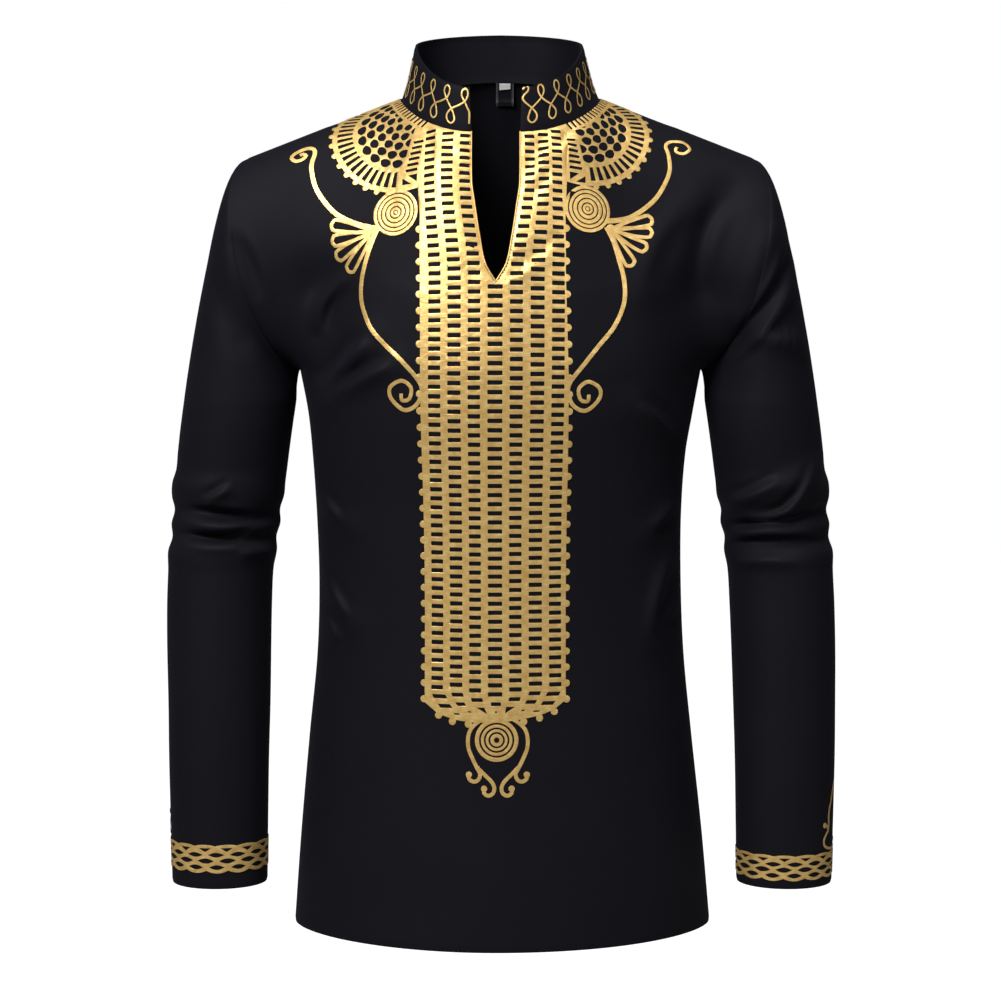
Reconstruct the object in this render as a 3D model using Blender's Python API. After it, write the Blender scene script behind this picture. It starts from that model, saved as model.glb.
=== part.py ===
"""A long-sleeved dashiki shirt, hollow as it is worn, with a stand collar and a slit neck.

Units are metres, +Z is up, the front faces -Y and +X is on the viewer's right. The origin is
midway between the shoulders, at the level of the neck base, where the wearer holds the shirt up.
Each cut piece is an open surface through sections, with its wall added inwards.
"""

import bisect
import math

import bmesh
import bpy
from mathutils import Vector

# Cloth
WALL = 0.0015
COLLAR_WALL = 0.002
LABEL_WALL = 0.001
SEAM_GAP = 0.0003

# Levels, as drops below the origin
ARMPIT_DROP = 0.234
HEM_DROP = 0.7262
CUFF_DROP = 0.685
SLIT_TIP_DROP = 0.158

# Neck and shoulder
NECK_HALF_WIDTH = 0.088
NECK_RISE = 0.008
FRONT_NECK_DEPTH = 0.072
FRONT_NECK_FALL = 0.038
BACK_NECK_DEPTH = 0.062
BACK_NECK_RISE = 0.0195
SHOULDER_TIP = Vector((0.222, 0.0, -0.047))
COLLAR_FRONT_HEIGHT = 0.038
COLLAR_SIDE_HEIGHT = 0.044
COLLAR_BACK_HEIGHT = 0.0405
COLLAR_INWARDS_LEFT = 0.0125
COLLAR_INWARDS_RIGHT = 0.0148
COLLAR_HOLLOW = 0.6
COLLAR_FRONT_SPREAD = 0.0015
COLLAR_FRONT_LEAN = 0.002
COLLAR_BACK_LEAN = 0.007
SLIT_CENTRE = -0.004
SLIT_STEPS = 7

# Share of a half panel's columns that ends on the neckline, the rest on the shoulder seam
NECK_SHARE = 0.42
NECK_STEPS = 6
SHOULDER_STEPS = 8
YOKE_STEPS = 12
BODY_STEPS = 24
CAP_STEPS = 8
COLLAR_ROWS = 3
COLLAR_STEPS = 4 * NECK_STEPS

FRONT = -1
BACK = 1
LEFT = -1
RIGHT = 1

# Slit: drop, half width
SLIT = [
    (0.020, 0.0205),
    (0.073, 0.0202),
    (0.091, 0.0178),
    (0.119, 0.0135),
    (0.143, 0.0086),
    (SLIT_TIP_DROP, 0.0),
]

# Body sections: drop, half width left, half width right, front depth, back depth, fullness
BODY = [
    (ARMPIT_DROP, 0.1770, 0.1770, 0.119, 0.112, 0.86),
    (0.271, 0.1700, 0.1700, 0.118, 0.109, 0.88),
    (0.307, 0.1664, 0.1638, 0.114, 0.104, 0.90),
    (0.360, 0.1629, 0.1602, 0.108, 0.096, 0.92),
    (0.422, 0.1610, 0.1602, 0.104, 0.091, 0.94),
    (0.485, 0.1629, 0.1629, 0.103, 0.094, 0.95),
    (0.556, 0.1700, 0.1700, 0.105, 0.101, 1.00),
    (0.645, 0.1780, 0.1798, 0.108, 0.106, 1.08),
    (HEM_DROP, 0.1840, 0.1872, 0.112, 0.107, 1.20),
]

# Yoke columns: share, pull off the top edge x, y, z, pull above the armpit level x, y, z,
# with y counted outwards. The first is a step from the edge, the second a place
FRONT_YOKE = [
    (0.00, 0.000, 0.020, -0.040, 0.000, 0.118, -0.160),
    (0.42, 0.002, 0.050, -0.005, 0.107, 0.102, -0.140),
    (0.70, 0.005, 0.062, -0.004, 0.172, 0.074, -0.165),
    (1.00, 0.026, 0.070, -0.011, 0.224, 0.092, -0.215),
]
BACK_YOKE = [
    (0.00, 0.000, 0.018, -0.026, 0.000, 0.114, -0.100),
    (0.42, 0.003, 0.050, -0.002, 0.107, 0.098, -0.115),
    (0.70, 0.005, 0.060, -0.003, 0.172, 0.074, -0.160),
    (1.00, 0.026, 0.066, -0.010, 0.226, 0.088, -0.212),
]

# Sleeve sections: drop, outer x, inner x, middle y, half depth
SLEEVE = [
    (0.262, 0.2805, 0.1815, 0.001, 0.058),
    (0.285, 0.2838, 0.1850, 0.002, 0.057),
    (0.307, 0.2866, 0.1882, 0.004, 0.056),
    (0.322, 0.2882, 0.1902, 0.005, 0.055),
    (0.334, 0.2918, 0.1918, 0.005, 0.056),
    (0.346, 0.2922, 0.1930, 0.005, 0.055),
    (0.358, 0.2896, 0.1966, 0.004, 0.052),
    (0.370, 0.2924, 0.1962, 0.003, 0.054),
    (0.382, 0.2914, 0.1996, 0.001, 0.051),
    (0.394, 0.2950, 0.1990, -0.001, 0.053),
    (0.410, 0.2950, 0.2020, -0.002, 0.051),
    (0.440, 0.2963, 0.2037, -0.004, 0.049),
    (0.480, 0.2970, 0.2052, -0.007, 0.047),
    (0.525, 0.2968, 0.2066, -0.010, 0.045),
    (0.575, 0.2963, 0.2080, -0.013, 0.042),
    (0.630, 0.2950, 0.2088, -0.015, 0.039),
    (CUFF_DROP, 0.2937, 0.2095, -0.016, 0.036),
]

# Pull of the sleeve cap away from its seam, at the shoulder and at the armpit
CAP_START = Vector((0.90, 0.0, -0.43))
CAP_END = Vector((0.13, 0.0, -0.99))
CAP_PULL_TOP = 0.066
CAP_PULL_ARMPIT = 0.008
CAP_END_SHARE = 0.9

# The left sleeve hangs a little closer to the body than the table says, from above the elbow down
LEFT_SLEEVE_SET = 0.0025
SLEEVE_SET_FROM = 0.40
SLEEVE_SET_OVER = 0.15

# Largest folds: facing, x from, z from, x to, z to, half width, height (a trough is negative)
FOLDS = [
    (FRONT, -0.150, -0.251, -0.112, -0.204, 0.014, 0.0040),
    (FRONT, -0.146, -0.262, -0.090, -0.226, 0.012, 0.0030),
    (FRONT, -0.124, -0.154, -0.154, -0.196, 0.018, -0.0040),
    (FRONT, -0.160, -0.340, -0.134, -0.366, 0.013, 0.0030),
    (FRONT, -0.152, -0.410, -0.128, -0.450, 0.014, 0.0030),
    (FRONT, 0.118, -0.262, 0.150, -0.292, 0.014, 0.0030),
    (FRONT, 0.156, -0.350, 0.128, -0.374, 0.013, 0.0030),
    (FRONT, 0.152, -0.390, 0.132, -0.466, 0.015, 0.0030),
    (FRONT, 0.197, -0.080, 0.173, -0.160, 0.015, -0.0060),
    (FRONT, 0.162, -0.092, 0.122, -0.164, 0.018, 0.0040),
    (FRONT, 0.232, -0.120, 0.205, -0.186, 0.013, 0.0040),
    (FRONT, 0.250, -0.128, 0.212, -0.205, 0.012, -0.0040),
    (FRONT, 0.220, -0.204, 0.268, -0.212, 0.012, 0.0035),
    (FRONT, -0.262, -0.140, -0.222, -0.205, 0.014, -0.0040),
    (FRONT, -0.288, -0.352, -0.196, -0.364, 0.009, -0.0045),
    (FRONT, -0.286, -0.372, -0.206, -0.382, 0.009, -0.0045),
    (FRONT, 0.200, -0.356, 0.276, -0.318, 0.010, 0.0045),
    (FRONT, 0.200, -0.372, 0.290, -0.358, 0.009, -0.0045),
    (FRONT, 0.204, -0.392, 0.290, -0.380, 0.009, -0.0040),
    (BACK, -0.150, -0.240, -0.080, -0.180, 0.016, 0.0040),
    (BACK, 0.150, -0.250, 0.086, -0.190, 0.016, 0.0040),
    (BACK, -0.140, -0.350, -0.040, -0.385, 0.018, 0.0035),
    (BACK, 0.145, -0.360, 0.050, -0.400, 0.018, 0.0035),
    (BACK, -0.240, -0.130, -0.205, -0.200, 0.014, -0.0040),
    (BACK, 0.242, -0.130, 0.206, -0.200, 0.014, -0.0040),
    (BACK, -0.282, -0.330, -0.205, -0.352, 0.010, 0.0040),
    (BACK, 0.282, -0.335, 0.205, -0.350, 0.010, 0.0040),
]
FOLD_FADE_DEPTH = 0.035
NO_FOLD_ABOVE = -0.045

# Label inside the back neck, and the size tab on it
LABEL_CENTRE = 0.004
LABEL_BELOW_SEAM = 0.0008
LABEL_WIDTH = 0.016
LABEL_LENGTH = 0.020
TAB_WIDTH = 0.010
TAB_LENGTH = 0.0048
LABEL_CLEARANCE = 0.0009

# Finishes: colour, roughness
CLOTH = ((0.012, 0.011, 0.014), 0.62)
SATIN = ((0.020, 0.020, 0.022), 0.35)
TAPE = ((0.80, 0.80, 0.80), 0.55)


def clear_scene():
    """Start from an empty scene."""
    for thing in list(bpy.data.objects):
        bpy.data.objects.remove(thing, do_unlink=True)


def along(table, station):
    """The values of a table at a station, on a smooth curve through its rows."""
    last = len(table) - 1
    k = bisect.bisect_right([row[0] for row in table], station) - 1
    k = min(max(k, 0), last - 1)
    before = table[max(k - 1, 0)]
    start = table[k]
    end = table[k + 1]
    after = table[min(k + 2, last)]
    span = end[0] - start[0]
    f = min(max((station - start[0]) / span, 0.0), 1.0)
    values = []
    for column in range(1, len(start)):
        leave = (end[column] - before[column]) / (end[0] - before[0]) * span
        arrive = (after[column] - start[column]) / (after[0] - start[0]) * span
        values.append(hermite(start[column], leave, end[column], arrive, f))
    return values


def hermite(start, leave, end, arrive, f):
    """A point or number on the cubic that leaves start and arrives at end as given."""
    return (
        start * (2 * f**3 - 3 * f**2 + 1)
        + leave * (f**3 - 2 * f**2 + f)
        + end * (3 * f**2 - 2 * f**3)
        + arrive * (f**3 - f**2)
    )


def bezier(points, t):
    """A point on the cubic curve with these four control points."""
    a, b, c, d = points
    s = 1.0 - t
    return a * s**3 + b * (3 * s * s * t) + c * (3 * s * t * t) + d * t**3


def smooth_step(value):
    """Zero below 0, one above 1, and a soft rise between them."""
    f = min(max(value, 0.0), 1.0)
    return f * f * (3 - 2 * f)


def fold_height(point):
    """How far the largest folds push a point away from the body's middle plane."""
    total = 0.0
    if point.z > NO_FOLD_ABOVE:
        return total
    for facing, x0, z0, x1, z1, half_width, height in FOLDS:
        depth = facing * point.y
        if depth <= 0.0:
            continue
        run = Vector((x1 - x0, z1 - z0))
        away = Vector((point.x - x0, point.z - z0))
        share = away.dot(run) / run.length_squared
        nearest = run * min(max(share, 0.0), 1.0)
        distance = (away - nearest).length
        bell = math.exp(-((distance / half_width) ** 2))
        total += facing * height * bell * smooth_step(depth / FOLD_FADE_DEPTH)
    return total


def neckline(facing, share):
    """The neck seam, from the centre (0) to the shoulder seam (1), on the right half."""
    angle = share * math.pi / 2
    if facing == FRONT:
        depth = -FRONT_NECK_DEPTH
        level = NECK_RISE - FRONT_NECK_FALL * math.cos(angle) ** 1.3
    else:
        depth = BACK_NECK_DEPTH
        level = NECK_RISE + BACK_NECK_RISE * math.cos(angle) ** 1.5
    return Vector((NECK_HALF_WIDTH * math.sin(angle), depth * math.cos(angle), level))


def top_edge(facing, share):
    """The top edge of a half panel: the neckline, then the shoulder seam."""
    if share <= NECK_SHARE:
        return neckline(facing, share / NECK_SHARE)
    f = (share - NECK_SHARE) / (1 - NECK_SHARE)
    return neckline(facing, 1.0).lerp(SHOULDER_TIP, f)


def body_point(facing, half, share, drop):
    """A point of the body below the armpits, at a share of the way from centre to side seam."""
    left, right, front_depth, back_depth, fullness = along(BODY, drop)
    width = left if half == LEFT else right
    depth = front_depth if facing == FRONT else back_depth
    angle = share * math.pi / 2
    y = facing * depth * max(math.cos(angle), 0.0) ** fullness
    return Vector((width * math.sin(angle), y, -drop))


def yoke_point(facing, half, share, t):
    """A point between the top edge (t = 0) and the armpit level (t = 1), on the right half."""
    table = FRONT_YOKE if facing == FRONT else BACK_YOKE
    x1, y1, z1, x2, y2, z2 = along(table, share)
    edge = top_edge(facing, share)
    pulls = [
        edge,
        edge + Vector((x1, facing * y1, z1)),
        Vector((x2, facing * y2, z2)),
        body_point(facing, half, share, ARMPIT_DROP),
    ]
    return bezier(pulls, t)


def slit_shift(point, share):
    """How far the slit moves a point of the right half, and of the left half, sideways."""
    nearness = max(0.0, 1.0 - share / NECK_SHARE) ** 2
    opening = along(SLIT, -point.z)[0] if -point.z < SLIT_TIP_DROP else 0.0
    return opening * nearness, SLIT_CENTRE * nearness


def slit_tip_t():
    """Where on the front's centre line the slit ends."""
    low, high = 0.0, 1.0
    for _ in range(40):
        middle = (low + high) / 2
        if -yoke_point(FRONT, RIGHT, 0.0, middle).z < SLIT_TIP_DROP:
            low = middle
        else:
            high = middle
    return low


def yoke_stations():
    """The stations down the yoke, one of them on the tip of the slit."""
    tip = slit_tip_t()
    above = [tip * k / SLIT_STEPS for k in range(SLIT_STEPS)]
    rest = YOKE_STEPS - SLIT_STEPS
    return above + [tip + (1 - tip) * k / rest for k in range(rest + 1)]


def column_shares():
    """The shares at which a half panel has its columns, one of them on the neck point."""
    neck = [NECK_SHARE * k / NECK_STEPS for k in range(NECK_STEPS)]
    rest = 1 - NECK_SHARE
    return neck + [NECK_SHARE + rest * k / SHOULDER_STEPS for k in range(SHOULDER_STEPS + 1)]


def half_panel(facing, half):
    """Rows of points of one half of the front or back, from the top edge down to the hem."""
    shares = column_shares()
    rows = [[yoke_point(facing, half, share, t) for share in shares] for t in yoke_stations()]
    for k in range(1, BODY_STEPS + 1):
        drop = ARMPIT_DROP + (HEM_DROP - ARMPIT_DROP) * k / BODY_STEPS
        rows.append([body_point(facing, half, share, drop) for share in shares])
    if facing == FRONT:
        for row in rows:
            open_slit(row, shares, half)
    place(rows, half)
    ease_edge([row[-1] for row in rows], [row[-2] for row in rows])
    ease_edge(rows[0][:-1], rows[1][:-1])
    return rows


def half_panel_mitres(facing, half):
    """The direction of the wall's edge at each seam point of a half panel, by row and column."""
    mitres = {}
    shares = column_shares()
    stations = yoke_stations()
    last = len(shares) - 1
    for column, share in enumerate(shares):
        if share >= NECK_SHARE:
            mitres[0, column] = shoulder_mitre()
    for row, t in enumerate(stations):
        mitres[row, last] = armhole_mitre(facing, half, t)
    for row in range(len(stations), len(stations) + BODY_STEPS):
        mitres[row, last] = Vector((1.0, 0.0, 0.0))
    return {where: Vector((d.x * half, d.y, d.z)) for where, d in mitres.items()}


def shoulder_mitre():
    """Straight out of the shoulder, square to its seam."""
    seam = SHOULDER_TIP - neckline(FRONT, 1.0)
    return seam.cross(Vector((0.0, -1.0, 0.0))).normalized() * -1.0


def armhole_mitre(facing, half, t):
    """Midway between the outward directions of the panel and of the sleeve at their seam."""
    if t <= 0.0:
        return shoulder_mitre()
    if t >= 1.0:
        return Vector((0.0, 0.0, -1.0))
    seam = yoke_point(facing, half, 1.0, t)
    down = yoke_point(facing, half, 1.0, t + 0.001) - seam
    across = seam - yoke_point(facing, half, 0.98, t)
    panel = across.cross(down).normalized() * -facing
    sleeve = CAP_START.cross(down).normalized() * -facing
    return (panel + sleeve).normalized()


def open_slit(row, shares, half):
    """Part the points of a front row at the slit."""
    centre = row[0].copy()
    for point, share in zip(row, shares):
        opening, centring = slit_shift(centre, share)
        point.x += opening + half * centring


def place(rows, half):
    """Carry the points of a right half to their side, and add the folds."""
    for row in rows:
        for point in row:
            point.x *= half
            point.y += fold_height(point)


def ease_edge(edge, inner):
    """Draw an edge back by half the seam gap, towards the points inside it."""
    for point, towards in zip(edge, inner):
        point += (towards - point).normalized() * (SEAM_GAP / 2)


def armhole(half):
    """The armhole seam as a loop: shoulder tip, front, armpit, back, and its shares of half a turn."""
    stations = yoke_stations()
    loop = [(yoke_point(FRONT, half, 1.0, t), t) for t in stations]
    loop += [(yoke_point(BACK, half, 1.0, t), 2.0 - t) for t in reversed(stations[1:-1])]
    return loop


def sleeve_point(half, turn, drop):
    """A point of the sleeve below its cap. Turn 0 is the outer side, 0.5 the front, 1 the inner."""
    outer, inner, middle, depth = along(SLEEVE, drop)
    angle = turn * math.pi
    x = (outer + inner) / 2 + (outer - inner) / 2 * math.cos(angle)
    if half == LEFT:
        x -= LEFT_SLEEVE_SET * smooth_step((drop - SLEEVE_SET_FROM) / SLEEVE_SET_OVER)
    return Vector((x, middle - depth * math.sin(angle), -drop))


def cap_point(half, seam, turn, f):
    """A point of the sleeve cap, from its seam (f = 0) to the first level section (f = 1)."""
    end = sleeve_point(half, turn, SLEEVE[0][0])
    near_armpit = 1.0 - abs(1.0 - turn)
    pull = CAP_PULL_TOP + (CAP_PULL_ARMPIT - CAP_PULL_TOP) * near_armpit
    arrive = CAP_END * ((end - seam).length * CAP_END_SHARE)
    return hermite(seam, CAP_START * pull, end, arrive, f)


def sleeve_rows(half):
    """Rings of points of a sleeve, from the armhole seam down to the cuff edge."""
    seam = armhole(half)
    rows = []
    for k in range(CAP_STEPS):
        f = k / CAP_STEPS
        rows.append([cap_point(half, point, turn, f) for point, turn in seam])
    for section in SLEEVE:
        rows.append([sleeve_point(half, turn, section[0]) for _, turn in seam])
    place(rows, half)
    ease_edge(rows[0], rows[1])
    return rows


def sleeve_mitres(half):
    """The direction of the wall's edge at each point of the armhole seam."""
    mitres = {}
    for column, (_, turn) in enumerate(armhole(half)):
        facing = FRONT if turn <= 1.0 else BACK
        direction = armhole_mitre(facing, half, 1.0 - abs(1.0 - turn))
        mitres[0, column] = Vector((direction.x * half, direction.y, direction.z))
    return mitres


def collar_rows():
    """Rows of points of the stand collar, from its rim down to the neck seam."""
    rows = [[] for _ in range(COLLAR_ROWS + 1)]
    for k in range(COLLAR_STEPS + 1):
        turn = 2.0 * k / COLLAR_STEPS
        half = LEFT if turn < 1.0 else RIGHT
        from_front = turn if turn < 1.0 else 2.0 - turn
        facing = FRONT if from_front <= 0.5 else BACK
        share = from_front * 2 if facing == FRONT else (1.0 - from_front) * 2
        base = neckline(facing, share)
        if facing == FRONT:
            opening, centring = slit_shift(base, share * NECK_SHARE)
            base.x += opening + half * centring
        base.x *= half
        lean = collar_lean(facing, share, half)
        rise = collar_rim(facing, share) - base.z
        for row, level in zip(rows, range(COLLAR_ROWS, -1, -1)):
            up = level / COLLAR_ROWS
            row.append(base + Vector((lean.x * up**COLLAR_HOLLOW, lean.y * up, rise * up)))
    ease_edge(rows[-1], rows[-2])
    return rows


def collar_rim(facing, share):
    """The height of the collar's rim. It falls quickly at the sides, and little across the back."""
    ahead = max(math.cos(share * math.pi / 2), 0.0)
    side = NECK_RISE + COLLAR_SIDE_HEIGHT
    if facing == FRONT:
        centre = NECK_RISE - FRONT_NECK_FALL + COLLAR_FRONT_HEIGHT
        return side + (centre - side) * ahead**1.2
    centre = NECK_RISE + BACK_NECK_RISE + COLLAR_BACK_HEIGHT
    return side + (centre - side) * ahead**0.6


def collar_lean(facing, share, half):
    """The level step from the neck seam to the rim: inwards at the sides, little at the centre."""
    side = math.sin(share * math.pi / 2)
    inwards = -(COLLAR_INWARDS_LEFT if half == LEFT else COLLAR_INWARDS_RIGHT) * side * half
    if facing == FRONT:
        spread = COLLAR_FRONT_SPREAD * half * (1 - side)
        return Vector((inwards + spread, COLLAR_FRONT_LEAN))
    return Vector((inwards, COLLAR_FRONT_LEAN - COLLAR_BACK_LEAN * (1 - side)))


def add_material(name, finish):
    """A plain finish with this colour and roughness."""
    colour, roughness = finish
    material = bpy.data.materials.new(name)
    material.use_nodes = True
    shader = material.node_tree.nodes["Principled BSDF"]
    shader.inputs["Base Color"].default_value = (*colour, 1.0)
    shader.inputs["Roughness"].default_value = roughness
    shader.inputs["Metallic"].default_value = 0.0
    return material


def add_rows(mesh, rows, mitres, closed, facing_out):
    """Lay faces between rows of points that run downwards. Closed rows join end to end."""
    mitre = mesh.verts.layers.float_vector["mitre"]
    verts = [[mesh.verts.new(point) for point in row] for row in rows]
    for (row, column), direction in mitres.items():
        verts[row][column][mitre] = direction
    for upper, lower in zip(verts, verts[1:]):
        count = len(upper)
        for k in range(count if closed else count - 1):
            after = (k + 1) % count
            corners = [upper[k], lower[k], lower[after], upper[after]]
            if not facing_out:
                corners.reverse()
            mesh.faces.new(corners)


def add_wall(mesh, wall):
    """Give an open surface a wall on its inner side. Its edges follow the mitres of the seams."""
    mesh.normal_update()
    mitre = mesh.verts.layers.float_vector["mitre"]
    outer = list(mesh.verts)
    rims = [edge.link_loops[0] for edge in mesh.edges if edge.is_boundary]
    geometry = mesh.verts[:] + mesh.edges[:] + mesh.faces[:]
    copied = bmesh.ops.duplicate(mesh, geom=geometry)
    inner = copied["vert_map"]
    faces = [thing for thing in copied["geom"] if isinstance(thing, bmesh.types.BMFace)]
    bmesh.ops.reverse_faces(mesh, faces=faces)
    for vert in outer:
        direction = vert[mitre] if vert[mitre].length > 0.5 else vert.normal
        inner[vert].co = vert.co - direction * wall
    for loop in rims:
        start, end = loop.vert, loop.link_loop_next.vert
        mesh.faces.new([end, start, inner[start], inner[end]])


def add_piece(name, sheets, wall, finish, collection):
    """A cut piece: its surface, welded where its sheets meet, with a wall added inwards."""
    mesh = bmesh.new()
    mesh.verts.layers.float_vector.new("mitre")
    for sheet in sheets:
        add_rows(mesh, *sheet)
    bmesh.ops.remove_doubles(mesh, verts=mesh.verts, dist=0.00002)
    add_wall(mesh, wall)
    data = bpy.data.meshes.new(name)
    mesh.to_mesh(data)
    mesh.free()
    data.set_sharp_from_angle(angle=math.radians(60))
    piece = bpy.data.objects.new(name, data)
    data.materials.append(add_material(name, finish))
    collection.objects.link(piece)
    return piece


def add_panel(name, facing, collection):
    """The front or the back, cut in one piece. The front has the neck slit down its middle."""
    sheets = []
    for half in (LEFT, RIGHT):
        facing_out = half * facing == FRONT
        rows = half_panel(facing, half)
        sheets.append((rows, half_panel_mitres(facing, half), False, facing_out))
    add_piece(name, sheets, WALL, CLOTH, collection)


def add_sleeve(name, half, collection):
    """A sleeve, closed round the arm, open at the armhole and the cuff."""
    sheet = (sleeve_rows(half), sleeve_mitres(half), True, half == LEFT)
    add_piece(name, [sheet], WALL, CLOTH, collection)


def add_collar(collection):
    """The stand collar: one band round the neck with its ends apart at the slit."""
    add_piece("collar", [(collar_rows(), {}, False, False)], COLLAR_WALL, CLOTH, collection)


def back_inside(x, z, depth):
    """A point inside the back panel, at this depth behind its outer face."""
    low, high = 0.0, 1.0
    for _ in range(40):
        middle = (low + high) / 2
        if yoke_point(BACK, RIGHT, 0.0, middle).z > z:
            low = middle
        else:
            high = middle
    centre = yoke_point(BACK, RIGHT, 0.0, low)
    below = yoke_point(BACK, RIGHT, 0.0, low + 0.01)
    slope = (below - centre).normalized()
    inwards = Vector((0.0, -abs(slope.z), -slope.y))
    return centre + inwards * depth + Vector((x, -abs(x) * abs(x) / 0.12, 0.0))


def add_tag(name, width, length, top, depth, wall, finish, collection):
    """A small woven tag that hangs inside the back neck."""
    rows = []
    for k in range(5):
        z = top - length * k / 4
        rows.append([back_inside(LABEL_CENTRE + width * (c / 4 - 0.5), z, depth) for c in range(5)])
    add_piece(name, [(rows, {}, False, False)], wall, finish, collection)


def add_labels(collection):
    """The satin neck label and the size tab on its top edge."""
    top = NECK_RISE + BACK_NECK_RISE - LABEL_BELOW_SEAM
    depth = WALL + LABEL_CLEARANCE
    add_tag("neck_label", LABEL_WIDTH, LABEL_LENGTH, top, depth, LABEL_WALL, SATIN, collection)
    depth += LABEL_WALL + SEAM_GAP
    add_tag("size_tab", TAB_WIDTH, TAB_LENGTH, top, depth, LABEL_WALL, TAPE, collection)


def main():
    clear_scene()
    collection = bpy.data.collections.new("dashiki_shirt")
    bpy.context.scene.collection.children.link(collection)
    add_panel("front", FRONT, collection)
    add_panel("back", BACK, collection)
    add_sleeve("sleeve_left", LEFT, collection)
    add_sleeve("sleeve_right", RIGHT, collection)
    add_collar(collection)
    add_labels(collection)


main()
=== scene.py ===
# %% [markdown]
# # A long-sleeved dashiki shirt, dressed in Blender
#
# The shirt is made of thin black cloth and hangs as if someone wore it. A print of gold foil runs
# down the chest, over the shoulders, round the collar and round the cuffs. The solids of the shirt
# are loaded first as a fixed frame. Each piece here is then laid in the place of its solid, with
# finer folds, real seams and real finishes.
#
# The origin is midway between the shoulders at the neck's base. X runs to the viewer's right, y to
# the back and z upwards, all in metres.

# %% Load the frame
import cmath
import collections
import functools
import math

import bmesh
import bpy
import numpy as np
from mathutils import Matrix, Vector, geometry
from mathutils.bvhtree import BVHTree


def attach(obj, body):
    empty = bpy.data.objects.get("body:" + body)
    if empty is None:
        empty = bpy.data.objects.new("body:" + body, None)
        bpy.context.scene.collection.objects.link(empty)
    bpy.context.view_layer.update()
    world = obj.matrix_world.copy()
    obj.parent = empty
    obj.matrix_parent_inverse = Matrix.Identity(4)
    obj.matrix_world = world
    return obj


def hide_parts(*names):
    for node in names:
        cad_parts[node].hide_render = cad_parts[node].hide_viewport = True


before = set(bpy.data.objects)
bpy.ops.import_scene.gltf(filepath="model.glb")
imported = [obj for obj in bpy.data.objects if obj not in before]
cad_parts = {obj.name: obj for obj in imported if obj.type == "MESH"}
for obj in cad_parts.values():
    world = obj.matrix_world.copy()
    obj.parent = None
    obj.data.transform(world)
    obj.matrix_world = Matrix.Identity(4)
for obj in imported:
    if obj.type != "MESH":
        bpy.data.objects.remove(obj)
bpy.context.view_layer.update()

# %% [markdown]
# ## Camera
#
# A long lens at chest height, two metres away, keeps the shirt's shape nearly free of perspective.
# The camera looks a little down, and a small shift of the lens does the rest, so that the shirt's
# upright lines stay upright. A stronger tilt alone would have made the hem look narrower.

# %% Camera
PHOTO_PIXEL = 0.000887
CAMERA_DISTANCE = 2.0
CAMERA_HEIGHT = -0.20
VIEW_CENTRE_HEIGHT = -0.350
LENS_SHIFT = -0.07
SENSOR_WIDTH = 36.0
PHOTO_WIDTH = 1001

view_width = PHOTO_PIXEL * PHOTO_WIDTH
aim_height = VIEW_CENTRE_HEIGHT - LENS_SHIFT * view_width
camera_data = bpy.data.cameras.new("camera")
camera_data.sensor_width = SENSOR_WIDTH
camera_data.lens = SENSOR_WIDTH * CAMERA_DISTANCE / view_width
camera_data.shift_y = LENS_SHIFT
camera_data.dof.use_dof = False
camera = bpy.data.objects.new("camera", camera_data)
camera.location = (0.0, -CAMERA_DISTANCE, CAMERA_HEIGHT)
tilt = math.atan2(CAMERA_HEIGHT - aim_height, CAMERA_DISTANCE)
camera.rotation_euler = (math.pi / 2 - tilt, 0.0, 0.0)
bpy.context.scene.collection.objects.link(camera)
bpy.context.scene.camera = camera
bpy.context.scene.view_settings.view_transform = "Standard"
print(f"lens {camera_data.lens:.1f} mm, tilted {math.degrees(tilt):.1f} degrees down")

# %% [markdown]
# ## Small helpers for finishes
#
# Colours are written as they would be picked on a screen, so one function turns them to the linear
# values that the shader works in. Another adds a node with its settings and its links.

# %% Colour and node helpers
def colour(code):
    """A colour picked on a screen, such as #1c1b20, as linear values."""
    channels = [int(code[k:k + 2], 16) / 255 for k in (1, 3, 5)]
    linear = [c / 12.92 if c <= 0.04045 else ((c + 0.055) / 1.055) ** 2.4 for c in channels]
    return (*linear, 1.0)


def add_node(tree, kind, settings=None, links=None):
    """Add a node, set its inputs and options by name, and link outputs of other nodes to it."""
    node = tree.nodes.new(kind)
    for name, value in (settings or {}).items():
        if isinstance(name, int) or name in node.inputs:
            node.inputs[name].default_value = value
        else:
            setattr(node, name, value)
    for name, source in (links or {}).items():
        tree.links.new(source, node.inputs[name])
    return node


def new_finish(name, settings):
    """A material whose shader has these settings. Returns it, its nodes and its shader."""
    material = bpy.data.materials.new(name)
    material.use_nodes = True
    shader = material.node_tree.nodes["Principled BSDF"]
    for key, value in settings.items():
        shader.inputs[key].default_value = value
    return material, material.node_tree, shader


# %% [markdown]
# ## Floor and light
#
# The shirt is lit as in a small studio: a broad soft key light from the front left and above, a
# weak one from the other side to fill its shadows, one above the shoulders, and a pale floor. Black
# cloth shows its folds only where a light is broad and comes from one side, so the key light is by
# far the strongest.

# %% Floor and light
FLOOR_HEIGHT = -1.25
FLOOR_SIZE = 16.0

floor_mesh = bmesh.new()
bmesh.ops.create_grid(floor_mesh, x_segments=1, y_segments=1, size=FLOOR_SIZE / 2)
bmesh.ops.translate(floor_mesh, verts=floor_mesh.verts, vec=(0.0, 0.0, FLOOR_HEIGHT))
floor_data = bpy.data.meshes.new("floor")
floor_mesh.to_mesh(floor_data)
floor_mesh.free()
floor = bpy.data.objects.new("floor", floor_data)
bpy.context.scene.collection.objects.link(floor)
floor_finish, floor_tree, floor_shader = new_finish(
    "pale_floor", {"Base Color": colour("#9c9c9c"), "Roughness": 0.9,
                   "Emission Color": colour("#ffffff")})
floor_glow = add_node(floor_tree, "ShaderNodeLightPath")
floor_tree.links.new(floor_glow.outputs["Is Camera Ray"], floor_shader.inputs["Emission Strength"])
floor_data.materials.append(floor_finish)

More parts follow.
